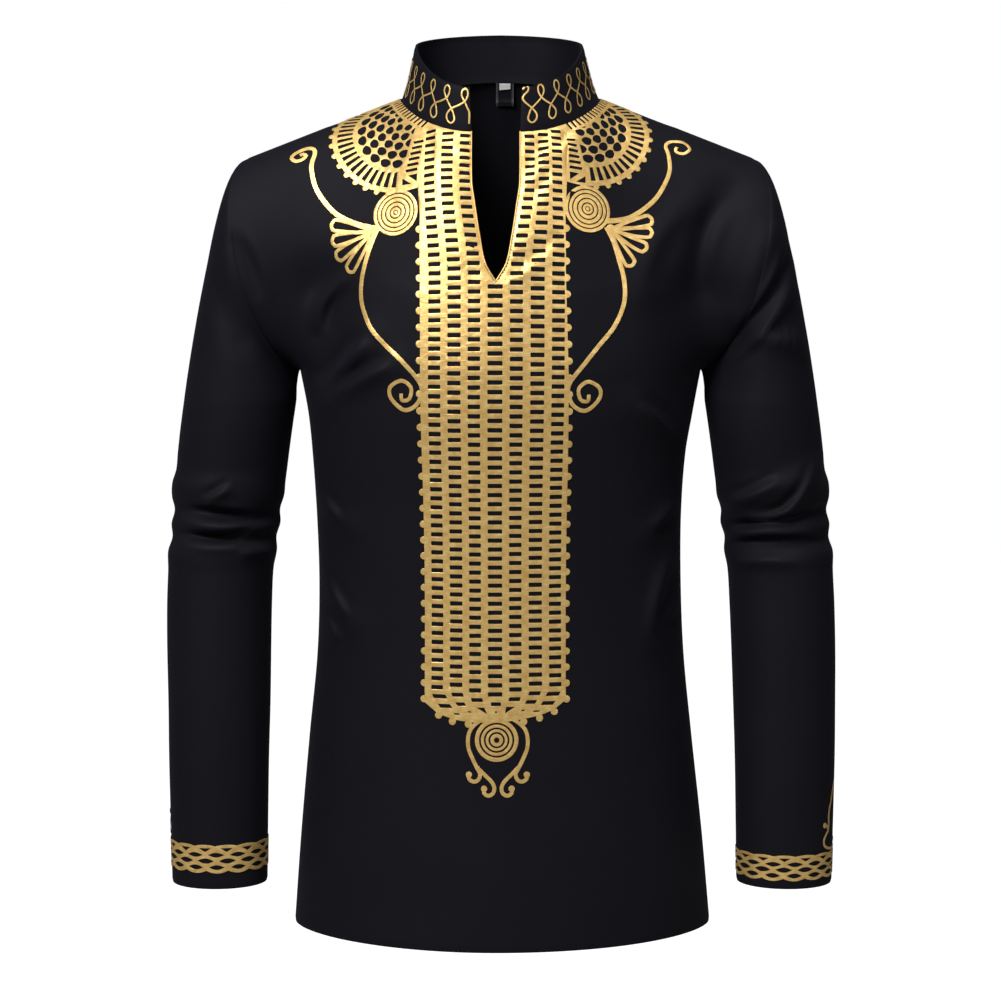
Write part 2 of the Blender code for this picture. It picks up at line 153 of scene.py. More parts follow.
WORLD_LIGHT = 0.04
world = bpy.data.worlds.new("studio")
world.use_nodes = True
bpy.context.scene.world = world
sky = world.node_tree.nodes["Background"]
rays = add_node(world.node_tree, "ShaderNodeLightPath")
strength = add_node(world.node_tree, "ShaderNodeMapRange", {"To Min": WORLD_LIGHT, "To Max": 1.0},
                    {"Value": rays.outputs["Is Camera Ray"]})
sky.inputs["Color"].default_value = colour("#ffffff")
world.node_tree.links.new(strength.outputs["Result"], sky.inputs["Strength"])

# Name: place, width, height, power in watts
LIGHTS = {
    "key": ((-1.5, -2.5, 1.9), 1.4, 1.0, 135.0),
    "fill": ((2.0, -2.4, 0.9), 1.4, 1.4, 21.0),
    "top": ((0.0, -0.7, 2.4), 2.0, 1.2, 42.0),
}
LIT_POINT = Vector((0.0, 0.0, -0.30))
for name, (place, width, height, power) in LIGHTS.items():
    data = bpy.data.lights.new(name, "AREA")
    data.shape = "RECTANGLE"
    data.size = width
    data.size_y = height
    data.energy = power
    lamp = bpy.data.objects.new(name, data)
    lamp.location = place
    lamp.rotation_euler = (LIT_POINT - Vector(place)).to_track_quat("-Z", "Y").to_euler()
    bpy.context.scene.collection.objects.link(lamp)
    print(f"{name} light, {power:.0f} W at {place}")

# %% [markdown]
# ## Black cloth
#
# The cloth is a thin plain weave of cotton and polyester, dyed black. It is smooth, so a soft light
# gives it a faint sheen, a little violet where it is brightest. A plain weave has threads that pass
# over and under each other about every 0.4 mm. That is too fine to show from two metres, so the
# bump is drawn at 1.3 mm and kept weak.

# %% Black cotton finish
THREAD_SHOWN = 0.0013
# A wave texture of scale 1 repeats after this length
WAVE_REPEAT = 0.314
WEAVE_SCALE = WAVE_REPEAT / THREAD_SHOWN


def add_weave(tree, coordinates, scale):
    """The height of a plain weave: two sets of waves across each other."""
    across = add_node(tree, "ShaderNodeTexWave", {"bands_direction": "X", "Scale": scale},
                      {"Vector": coordinates})
    down = add_node(tree, "ShaderNodeTexWave", {"bands_direction": "Y", "Scale": scale},
                    {"Vector": coordinates})
    return add_node(tree, "ShaderNodeMath", {"operation": "MULTIPLY"},
                    {0: across.outputs["Fac"], 1: down.outputs["Fac"]}).outputs["Value"]


def black_cotton():
    """Smooth black plain weave with a soft sheen and a faint unevenness of dye."""
    material, tree, shader = new_finish("black_plain_weave_cotton", {
        "Roughness": 0.62, "Sheen Weight": 0.03, "Sheen Roughness": 0.40,
        "Sheen Tint": colour("#cfc8e6"), "Specular IOR Level": 0.07})
    place = add_node(tree, "ShaderNodeTexCoord")
    cloud = add_node(tree, "ShaderNodeTexNoise", {"Scale": 14.0, "Detail": 5.0, "Roughness": 0.6},
                     {"Vector": place.outputs["Object"]})
    dye = add_node(tree, "ShaderNodeMix",
                   {"data_type": "RGBA", 6: colour("#100f14"), 7: colour("#15141a")},
                   {0: cloud.outputs["Fac"]})
    tree.links.new(dye.outputs[2], shader.inputs["Base Color"])
    weave = add_weave(tree, place.outputs["UV"], WEAVE_SCALE)
    bump = add_node(tree, "ShaderNodeBump", {"Strength": 0.12, "Distance": 0.0004},
                    {"Height": weave})
    tree.links.new(bump.outputs["Normal"], shader.inputs["Normal"])
    return material


cloth_finish = black_cotton()
print("cloth finish:", cloth_finish.name)

# %% [markdown]
# ## The shape of the shirt
#
# A shirt that is worn is a tube round the chest, open at the neck, the hem and the arms. Its shape
# is given by a few sections: how far each level of the body reaches to the sides, to the front and
# to the back, and in what curve the cloth runs from the shoulder seam down to the armpits. The
# tables are those of the solids, but for up to 3 mm at the neck point, the collar and the cuffs, so
# each piece of cloth lies where its solid does.

# %% Sizes and tables of the shirt
WALL = 0.0012
COLLAR_WALL = 0.002
SEAM_GAP = 0.0001

ARMPIT_DROP = 0.234
HEM_DROP = 0.7262
CUFF_DROP = 0.6865
SLIT_TIP_DROP = 0.158
NECK_HALF_WIDTH = 0.088
NECK_RISE = 0.0055
FRONT_NECK_DEPTH = 0.072
FRONT_NECK_FALL = 0.0355
FRONT_NECK_CURVE = 1.3
BACK_NECK_DEPTH = 0.062
BACK_NECK_RISE = 0.022
BACK_NECK_CURVE = 1.5
SHOULDER_TIP = Vector((0.222, 0.0, -0.047))
COLLAR_FRONT_HEIGHT = 0.038
COLLAR_SIDE_HEIGHT = 0.0465
COLLAR_BACK_HEIGHT = 0.0405
COLLAR_INWARDS_LEFT = 0.0125
COLLAR_INWARDS_RIGHT = 0.0148
COLLAR_HOLLOW = 0.6
COLLAR_FRONT_SPREAD = 0.0015
COLLAR_FRONT_LEAN = 0.002
COLLAR_BACK_LEAN = 0.007
SLIT_CENTRE = -0.004
NECK_SHARE = 0.42

FRONT, BACK = -1, 1
LEFT, RIGHT = -1, 1

# Drop below the origin, half width of the slit
SLIT = (
    (0.020, 0.0205),
    (0.073, 0.0202),
    (0.091, 0.0178),
    (0.119, 0.0135),
    (0.143, 0.0086),
    (SLIT_TIP_DROP, 0.0),
)

# Drop, half width left, half width right, front depth, back depth, fullness
BODY = (
    (ARMPIT_DROP, 0.1770, 0.1770, 0.119, 0.112, 0.86),
    (0.271, 0.1700, 0.1700, 0.118, 0.109, 0.88),
    (0.307, 0.1664, 0.1638, 0.114, 0.104, 0.90),
    (0.360, 0.1629, 0.1602, 0.108, 0.096, 0.92),
    (0.422, 0.1610, 0.1602, 0.104, 0.091, 0.94),
    (0.485, 0.1629, 0.1629, 0.103, 0.094, 0.95),
    (0.556, 0.1700, 0.1700, 0.105, 0.101, 1.00),
    (0.645, 0.1780, 0.1798, 0.108, 0.106, 1.08),
    (HEM_DROP, 0.1840, 0.1872, 0.112, 0.107, 1.20),
)

# Share of the half width, step off the top edge x, y, z, place above the armpit level x, y, z
YOKE = {
    FRONT: (
        (0.00, 0.000, 0.020, -0.040, 0.000, 0.118, -0.160),
        (0.42, 0.002, 0.050, -0.005, 0.107, 0.102, -0.140),
        (0.70, 0.005, 0.062, -0.004, 0.172, 0.074, -0.165),
        (1.00, 0.026, 0.070, -0.011, 0.224, 0.092, -0.215),
    ),
    BACK: (
        (0.00, 0.000, 0.018, -0.026, 0.000, 0.114, -0.100),
        (0.42, 0.003, 0.050, -0.002, 0.107, 0.098, -0.115),
        (0.70, 0.005, 0.060, -0.003, 0.172, 0.074, -0.160),
        (1.00, 0.026, 0.066, -0.010, 0.226, 0.088, -0.212),
    ),
}

# Drop, outer x, inner x, middle y, half depth
SLEEVE = (
    (0.262, 0.2805, 0.1815, 0.001, 0.058),
    (0.285, 0.2838, 0.1850, 0.002, 0.057),
    (0.307, 0.2866, 0.1882, 0.004, 0.056),
    (0.322, 0.2882, 0.1902, 0.005, 0.055),
    (0.334, 0.2918, 0.1918, 0.005, 0.056),
    (0.346, 0.2922, 0.1930, 0.005, 0.055),
    (0.358, 0.2896, 0.1966, 0.004, 0.052),
    (0.370, 0.2924, 0.1962, 0.003, 0.054),
    (0.382, 0.2914, 0.1996, 0.001, 0.051),
    (0.394, 0.2950, 0.1990, -0.001, 0.053),
    (0.410, 0.2950, 0.2020, -0.002, 0.051),
    (0.440, 0.2963, 0.2037, -0.004, 0.049),
    (0.480, 0.2970, 0.2052, -0.007, 0.047),
    (0.525, 0.2968, 0.2066, -0.010, 0.045),
    (0.575, 0.2963, 0.2080, -0.013, 0.042),
    (0.630, 0.2950, 0.2088, -0.015, 0.039),
    (CUFF_DROP, 0.2937, 0.2095, -0.016, 0.036),
)
CAP_START = Vector((0.90, 0.0, -0.43))
CAP_END = Vector((0.13, 0.0, -0.99))
CAP_PULL_TOP = 0.066
CAP_PULL_ARMPIT = 0.008
CAP_END_SHARE = 0.9
LEFT_SLEEVE_SET = 0.0025
SLEEVE_SET_FROM = 0.40
SLEEVE_SET_OVER = 0.15

# %% [markdown]
# ### Curves through the tables
#
# Straight lines between the sections would leave creases that no cloth has. A cubic curve through
# the rows keeps the surface smooth, and a Bezier curve with four points draws each line of the
# yoke from the shoulder seam over the chest.

# %% Curves
HALVINGS = 40


def hermite(start, leave, end, arrive, f):
    """A point or number on the cubic that leaves start and arrives at end as given."""
    return (
        start * (2 * f**3 - 3 * f**2 + 1)
        + leave * (f**3 - 2 * f**2 + f)
        + end * (3 * f**2 - 2 * f**3)
        + arrive * (f**3 - f**2)
    )


@functools.lru_cache(maxsize=None)
def along(table, station):
    """The values of a table at a station, on a smooth curve through its rows."""
    last = len(table) - 1
    k = max((i for i in range(last) if table[i][0] <= station), default=0)
    before, start = table[max(k - 1, 0)], table[k]
    end, after = table[k + 1], table[min(k + 2, last)]
    span = end[0] - start[0]
    f = min(max((station - start[0]) / span, 0.0), 1.0)
    values = []
    for column in range(1, len(start)):
        leave = (end[column] - before[column]) / (end[0] - before[0]) * span
        arrive = (after[column] - start[column]) / (after[0] - start[0]) * span
        values.append(hermite(start[column], leave, end[column], arrive, f))
    return values


def bezier(points, t):
    """A point on the cubic curve with these four control points."""
    a, b, c, d = points
    s = 1.0 - t
    return a * s**3 + b * (3 * s * s * t) + c * (3 * s * t * t) + d * t**3


def smooth_step(value):
    """Zero below 0, one above 1, and a soft rise between them. Takes a number or an array."""
    f = np.clip(value, 0.0, 1.0)
    return f * f * (3 - 2 * f)


def neckline(facing, share):
    """The neck seam, from the centre (0) to the shoulder seam (1), on the right half."""
    angle = share * math.pi / 2
    depth = BACK_NECK_DEPTH if facing == BACK else -FRONT_NECK_DEPTH
    if facing == FRONT:
        level = NECK_RISE - FRONT_NECK_FALL * max(math.cos(angle), 0.0) ** FRONT_NECK_CURVE
    else:
        level = NECK_RISE + BACK_NECK_RISE * max(math.cos(angle), 0.0) ** BACK_NECK_CURVE
    return Vector((NECK_HALF_WIDTH * math.sin(angle), depth * math.cos(angle), level))


def top_edge(facing, share):
    """The top edge of a half panel: the neckline, then the shoulder seam."""
    if share <= NECK_SHARE:
        return neckline(facing, share / NECK_SHARE)
    f = (share - NECK_SHARE) / (1 - NECK_SHARE)
    return neckline(facing, 1.0).lerp(SHOULDER_TIP, f)


def body_point(facing, half, share, drop):
    """A point of the body below the armpits, at a share of the way from centre to side seam."""
    left, right, front_depth, back_depth, fullness = along(BODY, drop)
    width = left if half == LEFT else right
    depth = front_depth if facing == FRONT else back_depth
    angle = share * math.pi / 2
    y = facing * depth * max(math.cos(angle), 0.0) ** fullness
    return Vector((width * math.sin(angle), y, -drop))


def yoke_point(facing, half, share, t):
    """A point between the top edge (t = 0) and the armpit level (t = 1), on the right half."""
    x1, y1, z1, x2, y2, z2 = along(YOKE[facing], share)
    edge = top_edge(facing, share)
    pulls = [
        edge,
        edge + Vector((x1, facing * y1, z1)),
        Vector((x2, facing * y2, z2)),
        body_point(facing, half, share, ARMPIT_DROP),
    ]
    return bezier(pulls, t)


def slit_shift(point, share):
    """How far the slit moves a point of a right half outwards, and of both halves sideways."""
    nearness = max(0.0, 1.0 - share / NECK_SHARE) ** 2
    opening = along(SLIT, -point.z)[0] if -point.z < SLIT_TIP_DROP else 0.0
    return opening * nearness, SLIT_CENTRE * nearness


def sleeve_point(half, turn, drop):
    """A point of the sleeve below its cap. Turn 0 is the outer side, 0.5 the front, 1 the inner."""
    outer, inner, middle, depth = along(SLEEVE, drop)
    angle = turn * math.pi
    x = (outer + inner) / 2 + (outer - inner) / 2 * math.cos(angle)
    if half == LEFT:
        x -= LEFT_SLEEVE_SET * float(smooth_step((drop - SLEEVE_SET_FROM) / SLEEVE_SET_OVER))
    return Vector((x, middle - depth * math.sin(angle), -drop))


def cap_point(half, turn, f):
    """A point of the sleeve cap, from its seam (f = 0) to the first level section (f = 1)."""
    if turn <= 1.0:
        seam = yoke_point(FRONT, half, 1.0, turn)
    else:
        seam = yoke_point(BACK, half, 1.0, 2.0 - turn)
    end = sleeve_point(half, turn, SLEEVE[0][0])
    near_armpit = 1.0 - abs(1.0 - turn)
    pull = CAP_PULL_TOP + (CAP_PULL_ARMPIT - CAP_PULL_TOP) * near_armpit
    arrive = CAP_END * ((end - seam).length * CAP_END_SHARE)
    return hermite(seam, CAP_START * pull, end, arrive, f)


def station_at(facing, height):
    """How far down the yoke its centre line passes this height."""
    low, high = 0.0, 1.0
    for _ in range(HALVINGS):
        middle = (low + high) / 2
        if yoke_point(facing, RIGHT, 0.0, middle).z > height:
            low = middle
        else:
            high = middle
    return low


slit_end = station_at(FRONT, -SLIT_TIP_DROP)
print(f"the slit ends {slit_end:.3f} of the way down the yoke")

# %% [markdown]
# ## Folds
#
# Cloth that hangs from the shoulders makes long soft drags from the armpits, and the sleeves bunch
# at the elbows. Each fold is a line on the shirt, a width and a height, in millimetres. The large
# ones are those of the solids, but for the wide soft hollows in front of both armpits. The finer
# ones below are steeper on one side than on the other, as real folds are, and run out at both ends.

# %% Tables of folds
MM = 0.001
# x from, z from, x to, z to, half width, height (a trough is negative)
FOLDS = {
    FRONT: (
        (-150, -251, -112, -204, 14, 4),
        (-146, -262, -90, -226, 12, 3),
        (-152, -168, -146, -232, 28, -13),
        (-160, -340, -134, -366, 13, 3),
        (-152, -410, -128, -450, 14, 3),
        (118, -262, 150, -292, 14, 3),
        (156, -350, 128, -374, 13, 3),
        (152, -390, 132, -466, 15, 3),
        (197, -80, 173, -160, 15, -6),
        (162, -92, 122, -164, 18, 4),
        (176, -182, 182, -238, 32, -13.5),
        (232, -120, 205, -186, 13, 4),
        (250, -128, 212, -205, 12, -4),
        (220, -204, 268, -212, 12, 3.5),
        (-262, -140, -222, -205, 14, -4),
        (-288, -352, -196, -364, 9, -4.5),
        (-286, -372, -206, -382, 9, -4.5),
        (200, -356, 276, -318, 10, 4.5),
        (200, -372, 290, -358, 9, -4.5),
        (204, -392, 290, -380, 9, -4),
    ),
    BACK: (
        (-150, -240, -80, -180, 16, 4),
        (150, -250, 86, -190, 16, 4),
        (-140, -350, -40, -385, 18, 3.5),
        (145, -360, 50, -400, 18, 3.5),
        (-240, -130, -205, -200, 14, -4),
        (242, -130, 206, -200, 14, -4),
        (-282, -330, -205, -352, 10, 4),
        (282, -335, 205, -350, 10, 4),
    ),
}
FOLD_FADE_DEPTH = 0.035
NO_FOLD_ABOVE = -0.045

# x and z of the start, the middle and the end, half width, height.
# The steep side lies to the left of the way from start to end, as the front view shows it
CREASES = {
    FRONT: (
        # left chest drags
        (-150, -250, -130, -225, -114, -205, 6, 9.2),
        (-144, -257, -117, -240, -92, -227, 5.4, 7.4),
        (-127, -153, -151, -174, -156, -203, 6.3, 6.8),
        # left waist
        (-158, -343, -148, -352, -136, -364, 4.4, 4.6),
        (-152, -413, -142, -432, -130, -447, 4.9, 4.3),
        (-154, -444, -148, -456, -140, -468, 4.4, 4.3),
        # left elbow
        (-282, -353, -237, -358, -191, -365, 3.6, -5.6),
        (-281, -365, -245, -368, -201, -372, 3.6, 5),
        (-284, -372, -250, -378, -208, -370, 3.6, -5),
        (-286, -384, -241, -386, -194, -388, 3.7, 5.8),
        (-236, -382, -225, -378, -212, -374, 3.4, 3),
        (-258, -348, -246, -342, -232, -333, 3.6, 4.6),
        (-229, -395, -210, -392, -192, -398, 3.6, 3.9),
        # right shoulder
        (195, -83, 175, -115, 170, -160, 7.6, -6.3),
        (161, -91, 134, -123, 119, -164, 8.6, 3.8),
        # right armhole
        (246, -108, 237, -148, 200, -202, 3.8, 5.8),
        (256, -122, 247, -172, 196, -232, 3.8, 5.8),
        (214, -210, 245, -206, 270, -219, 3.6, 4.5),
        (246, -205, 256, -198, 265, -189, 3.6, 3.4),
        # right elbow
        (192, -353, 218, -341, 243, -327, 3.9, 6.2),
        (216, -363, 250, -354, 276, -312, 3.9, 6.8),
        (193, -368, 240, -365, 283, -354, 3.6, -7.4),
        (193, -382, 224, -371, 275, -361, 3.6, 5.1),
        (195, -389, 231, -381, 285, -382, 3.7, -6.8),
        (202, -404, 228, -398, 259, -400, 3.9, 3.9),
        # right body
        (155, -351, 143, -360, 130, -372, 4.4, 4.6),
        (153, -390, 138, -426, 132, -464, 5.3, 5.7),
        (155, -439, 149, -446, 140, -456, 3.9, 3.4),
        (117, -261, 132, -273, 148, -290, 4.9, 4.6),
        # left upper sleeve
        (-232, -115, -215, -141, -206, -174, 6.5, -3.8),
        # right of the slit
        (45, -26, 31, -48, 19, -76, 5.3, -2.7),
        (65, -22, 52, -38, 40, -48, 5, -2),
        (42, -66, 32, -80, 28, -93, 4.8, -1.8),
        (51, -118, 37, -130, 8, -151, 5, -2.3),
        # left of the slit
        (-64, -24, -58, -36, -57, -53, 3.2, -1.5),
        (-50, -30, -44, -43, -33, -55, 3.2, -1.3),
        (-36, -34, -26, -47, -19, -56, 3, -1),
        (-12, -142, -19, -127, -29, -102, 3.2, -1.2),
        (-17, -157, -26, -152, -36, -142, 3, -1),
        # tip of the slit
        (2, -159, 16, -154, 30, -142, 3, 1),
    ),
    BACK: (
        (-158, -250, -128, -222, -100, -200, 6.5, 4.6),
        (-150, -275, -112, -250, -76, -240, 6.5, 3.4),
        (160, -255, 130, -226, 100, -204, 6.5, 4.6),
        (148, -282, 108, -262, 70, -254, 6.5, 3.4),
        (-150, -395, -112, -408, -70, -402, 7.6, 4.2),
        (150, -405, 108, -420, 64, -410, 7.6, 4.2),
        (-140, -450, -120, -520, -128, -600, 9.7, 4.2),
        (136, -440, 118, -530, 126, -620, 9.7, 4.2),
        (-284, -352, -250, -362, -200, -356, 4.3, 4.6),
        (284, -350, 248, -360, 200, -352, 4.3, 4.6),
        (-282, -376, -244, -384, -204, -376, 4.3, -4.2),
        (282, -374, 244, -382, 204, -374, 4.3, -4.2),
    ),
}


# %% Heights of the folds
CREASE_STEPS = 12
# Widths of a crease to its steep and its soft side, as shares of its half width
STEEP_SIDE, SOFT_SIDE = 0.7, 1.5
# The hollow along its steep side: depth, distance and width
HOLLOW_DEPTH, HOLLOW_AWAY, HOLLOW_WIDTH = 0.45, 1.7, 0.9
RUN_OUT = 0.8


def in_metres(table):
    """The rows of a table of folds: side, half width, height, then the points of its line."""
    for facing, rows in table.items():
        for row in rows:
            *line, half_width, height = (value * MM for value in row)
            yield facing, half_width, height, *np.reshape(line, (-1, 2))


def fold_heights(places):
    """How far the large folds push each place away from the body's middle plane."""
    total = np.zeros(len(places))
    for facing, half_width, height, start, end in in_metres(FOLDS):
        run = end - start
        away = places[:, [0, 2]] - start
        share = np.clip(away @ run / (run @ run), 0.0, 1.0)
        distance = np.linalg.norm(away - share[:, None] * run, axis=1)
        fade = smooth_step(facing * places[:, 1] / FOLD_FADE_DEPTH)
        total += facing * height * np.exp(-((distance / half_width) ** 2)) * fade
    total[places[:, 2] > NO_FOLD_ABOVE] = 0.0
    return total


def nearest_on(line, places):
    """How far each place lies left (positive) or right of a line, and how far along the line."""
    best = np.full(len(places), np.inf)
    place_on = np.zeros(len(places))
    side = np.zeros(len(places))
    for k in range(len(line) - 1):
        run = line[k + 1] - line[k]
        away = places[:, [0, 2]] - line[k]
        share = np.clip(away @ run / (run @ run), 0.0, 1.0)
        step = away - share[:, None] * run
        distance = np.linalg.norm(step, axis=1)
        nearer = distance < best
        best[nearer] = distance[nearer]
        place_on[nearer] = (k + share[nearer]) / (len(line) - 1)
        side[nearer] = np.sign(run[0] * step[nearer, 1] - run[1] * step[nearer, 0])
    return best * side, place_on


def crease_heights(places):
    """The same for the fine creases."""
    total = np.zeros(len(places))
    shares = np.linspace(0.0, 1.0, CREASE_STEPS + 1)[:, None]
    for facing, half_width, height, start, middle, end in in_metres(CREASES):
        pull = 2 * middle - (start + end) / 2
        line = start * (1 - shares) ** 2 + pull * (2 * shares * (1 - shares)) + end * shares**2
        aside, place_on = nearest_on(line, places)
        width = np.where(aside > 0, STEEP_SIDE, SOFT_SIDE) * half_width
        ridge = np.exp(-((aside / width) ** 2))
        from_hollow = (aside - HOLLOW_AWAY * half_width) / (HOLLOW_WIDTH * half_width)
        hollow = HOLLOW_DEPTH * np.exp(-(from_hollow ** 2))
        run_out = np.sin(np.pi * place_on) ** RUN_OUT
        fade = smooth_step(facing * places[:, 1] / FOLD_FADE_DEPTH)
        total += facing * height * (ridge - hollow) * run_out * fade
    return total


for kind, table in (("large folds", FOLDS), ("creases", CREASES)):
    print(sum(len(rows) for rows in table.values()), kind)

# %% [markdown]
# ## Laying a piece of cloth
#
# Each piece starts as a flat grid, as cloth does. Every corner of the grid is then carried to its
# place on the worn shirt. The grid is fine, two to four millimetres, so that the folds are real
# shape and not only a trick of light. Solidify gives the cloth its thickness on the inner side.

# %% Helpers for cloth
SEAM_DEPTH = 0.0006


def grid_of(columns, rows):
    """A flat grid, 2 units wide and high."""
    mesh = bmesh.new()
    bmesh.ops.create_grid(mesh, x_segments=columns, y_segments=rows, size=1.0)
    return mesh


def column_and_row(vert, columns, rows):
    """Which column and row a vertex of a flat grid belongs to, row 0 at the top."""
    return round((vert.co.x + 1) / 2 * columns), round((1 - vert.co.y) / 2 * rows)


def add_flat(mesh, flats):
    """Keep the flat measures of each vertex, in metres, as a UV map."""
    layer = mesh.loops.layers.uv.new("flat")
    for face in mesh.faces:
        for loop in face.loops:
            loop[layer].uv = flats[loop.vert]


def sink_edges(mesh):
    """Draw the edges of a piece in a little, as a seam does, so that seams show as fine grooves."""
    for vert in mesh.verts:
        if vert.is_boundary:
            vert.co -= vert.normal * SEAM_DEPTH


def worn(places):
    """Places on the smooth shirt, pushed out by the folds."""
    spots = np.array([tuple(place) for place in places])
    spots[:, 1] += fold_heights(spots) + crease_heights(spots)
    return [Vector(spot) for spot in spots]


def settle_folds(mesh, places):
    """Carry the vertices to their places, push them out by the folds and draw in the seams."""
    for vert, spot in zip(mesh.verts, worn(places)):
        vert.co = spot
    mesh.normal_update()
    sink_edges(mesh)


def new_piece(name, mesh, finish, wall, nodes):
    """A piece of cloth from its mesh, with its wall on the inner side."""
    for edge in mesh.edges:
        edge.smooth = not edge.is_boundary
    for face in mesh.faces:
        face.smooth = True
    data = bpy.data.meshes.new(name)
    mesh.to_mesh(data)
    mesh.free()
    piece = bpy.data.objects.new(name, data)
    bpy.context.scene.collection.objects.link(piece)
    data.materials.append(finish)
    if wall:
        solid = piece.modifiers.new("wall", "SOLIDIFY")
        solid.thickness = wall
        solid.offset = -1.0
        solid.use_even_offset = False
    if nodes:
        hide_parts(*nodes)
    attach(piece, "root")
    return piece


# %% [markdown]
# ## Front and back
#
# The front and the back are each cut in one piece. The front has a slit down its middle, so its
# grid is split along the centre line first and the two edges are drawn apart.

# %% Front and back panels
NECK_COLUMNS = 27
SHOULDER_COLUMNS = 37
SLIT_ROWS = 40
CHEST_ROWS = 30
BODY_ROWS = 140
HALF_COLUMNS = NECK_COLUMNS + SHOULDER_COLUMNS

neck_shares = [NECK_SHARE * k / NECK_COLUMNS for k in range(NECK_COLUMNS)]
shoulder_shares = [NECK_SHARE + (1 - NECK_SHARE) * k / SHOULDER_COLUMNS
                   for k in range(SHOULDER_COLUMNS + 1)]
SHARES = neck_shares + shoulder_shares
YOKE_STATIONS = [slit_end * k / SLIT_ROWS for k in range(SLIT_ROWS)]
YOKE_STATIONS += [slit_end + (1 - slit_end) * k / CHEST_ROWS for k in range(CHEST_ROWS + 1)]
ROWS = SLIT_ROWS + CHEST_ROWS + BODY_ROWS
# How far below and beside the neck point the cloth is smoothed, and how often
SOFT_ROWS = 48
SOFT_COLUMNS = 18
SOFT_TURNS = 90


def panel_place(facing, half, column, row):
    """Where a vertex of the front or back lies on the worn shirt."""
    share = SHARES[column]
    if row < len(YOKE_STATIONS):
        t = YOKE_STATIONS[row]
        place = yoke_point(facing, half, share, t)
        if facing == FRONT:
            opening, centring = slit_shift(yoke_point(FRONT, half, 0.0, t), share)
            place.x += opening + half * centring
    else:
        below = (row - len(YOKE_STATIONS) + 1) / BODY_ROWS
        place = body_point(facing, half, share, ARMPIT_DROP + (HEM_DROP - ARMPIT_DROP) * below)
        if facing == FRONT:
            _, centring = slit_shift(place, share)
            place.x += half * centring
    place.x *= half
    return place


def soften_neck_point(mesh, where):
    """Smooth the cloth below the neck point, where the neck seam turns into the shoulder seam."""
    near = [vert for vert, (column, row) in where.items()
            if not vert.is_boundary and row < SOFT_ROWS
            and abs(abs(column - HALF_COLUMNS) - NECK_COLUMNS) < SOFT_COLUMNS]
    for _ in range(SOFT_TURNS):
        bmesh.ops.smooth_vert(mesh, verts=near, factor=0.5, use_axis_x=True, use_axis_y=True,
                              use_axis_z=True)


def lay_panel(name, node, facing):
    """The front or the back as a fine sheet, still without its wall."""
    columns = 2 * HALF_COLUMNS
    mesh = grid_of(columns, ROWS)
    if facing == FRONT:
        spots = {vert: column_and_row(vert, columns, ROWS) for vert in mesh.verts}
        on_slit = {vert for vert, (column, row) in spots.items()
                   if column == HALF_COLUMNS and row <= SLIT_ROWS}
        cut = [edge for edge in mesh.edges if all(vert in on_slit for vert in edge.verts)]
        bmesh.ops.split_edges(mesh, edges=cut)
    where = {vert: column_and_row(vert, columns, ROWS) for vert in mesh.verts}
    places = []
    for vert in mesh.verts:
        column, row = where[vert]
        lean = sum(face.calc_center_median().x for face in vert.link_faces)
        half = RIGHT if column > HALF_COLUMNS or (column == HALF_COLUMNS and lean > 0) else LEFT
        places.append(panel_place(facing, half, abs(column - HALF_COLUMNS), row))
    if facing == BACK:
        bmesh.ops.reverse_faces(mesh, faces=mesh.faces)
    for vert, place in zip(mesh.verts, places):
        vert.co = place
    soften_neck_point(mesh, where)
    settle_folds(mesh, [vert.co.copy() for vert in mesh.verts])
    return new_piece(name, mesh, cloth_finish, WALL, [node])


def lay_flat(piece, facing):
    """Unwrap a panel in metres, with its centre line upright and the slit's tip at zero."""
    top, bottom = (panel_place(facing, RIGHT, 0, row) for row in (SLIT_ROWS, ROWS))
    bpy.context.view_layer.objects.active = piece
    piece.select_set(True)
    bpy.ops.object.mode_set(mode="EDIT")
    bpy.ops.mesh.select_all(action="SELECT")
    bpy.ops.uv.unwrap(method="ANGLE_BASED", margin=0.0)
    bpy.ops.object.mode_set(mode="OBJECT")
    piece.select_set(False)
    data = piece.data
    spots = np.empty(len(data.vertices) * 3)
    data.vertices.foreach_get("co", spots)
    spots = spots.reshape(-1, 3)
    flat = np.empty(len(data.loops) * 2)
    data.uv_layers[0].uv.foreach_get("vector", flat)
    flat = flat[0::2] + 1j * flat[1::2]
    corners = np.empty(len(data.loops), dtype=int)
    data.loops.foreach_get("vertex_index", corners)
    ends = [int(np.argmin(np.linalg.norm(spots[corners] - np.array(tuple(place)), axis=1)))
            for place in (top, bottom)]
    length = abs(top.z - bottom.z)
    flat = (flat - flat[ends[0]]) * (-1j * length / (flat[ends[1]] - flat[ends[0]]))
    if np.sum(flat.real * spots[corners, 0]) < 0:
        flat = -flat.real + 1j * flat.imag
    pairs = np.stack([flat.real, flat.imag], axis=1)
    data.uv_layers[0].uv.foreach_set("vector", pairs.ravel())
    print(f"{piece.name}: {np.ptp(pairs[:, 0]):.3f} x {np.ptp(pairs[:, 1]):.3f} m laid flat")


front = lay_panel("front_cloth", "front", FRONT)
back = lay_panel("back_cloth", "back", BACK)
lay_flat(front, FRONT)
lay_flat(back, BACK)

# %% [markdown]
# ## Sleeves
#
# A set-in sleeve is one piece, closed along the arm. Its cap rises from the armhole seam and turns
# over the shoulder, and below it the tube narrows down to the cuff.

# %% Sleeves
ROUND_COLUMNS = 128
CAP_ROWS = 26
ARM_ROWS = 160
CAP_LENGTH = 0.19
SAME_SPOT = 0.00001


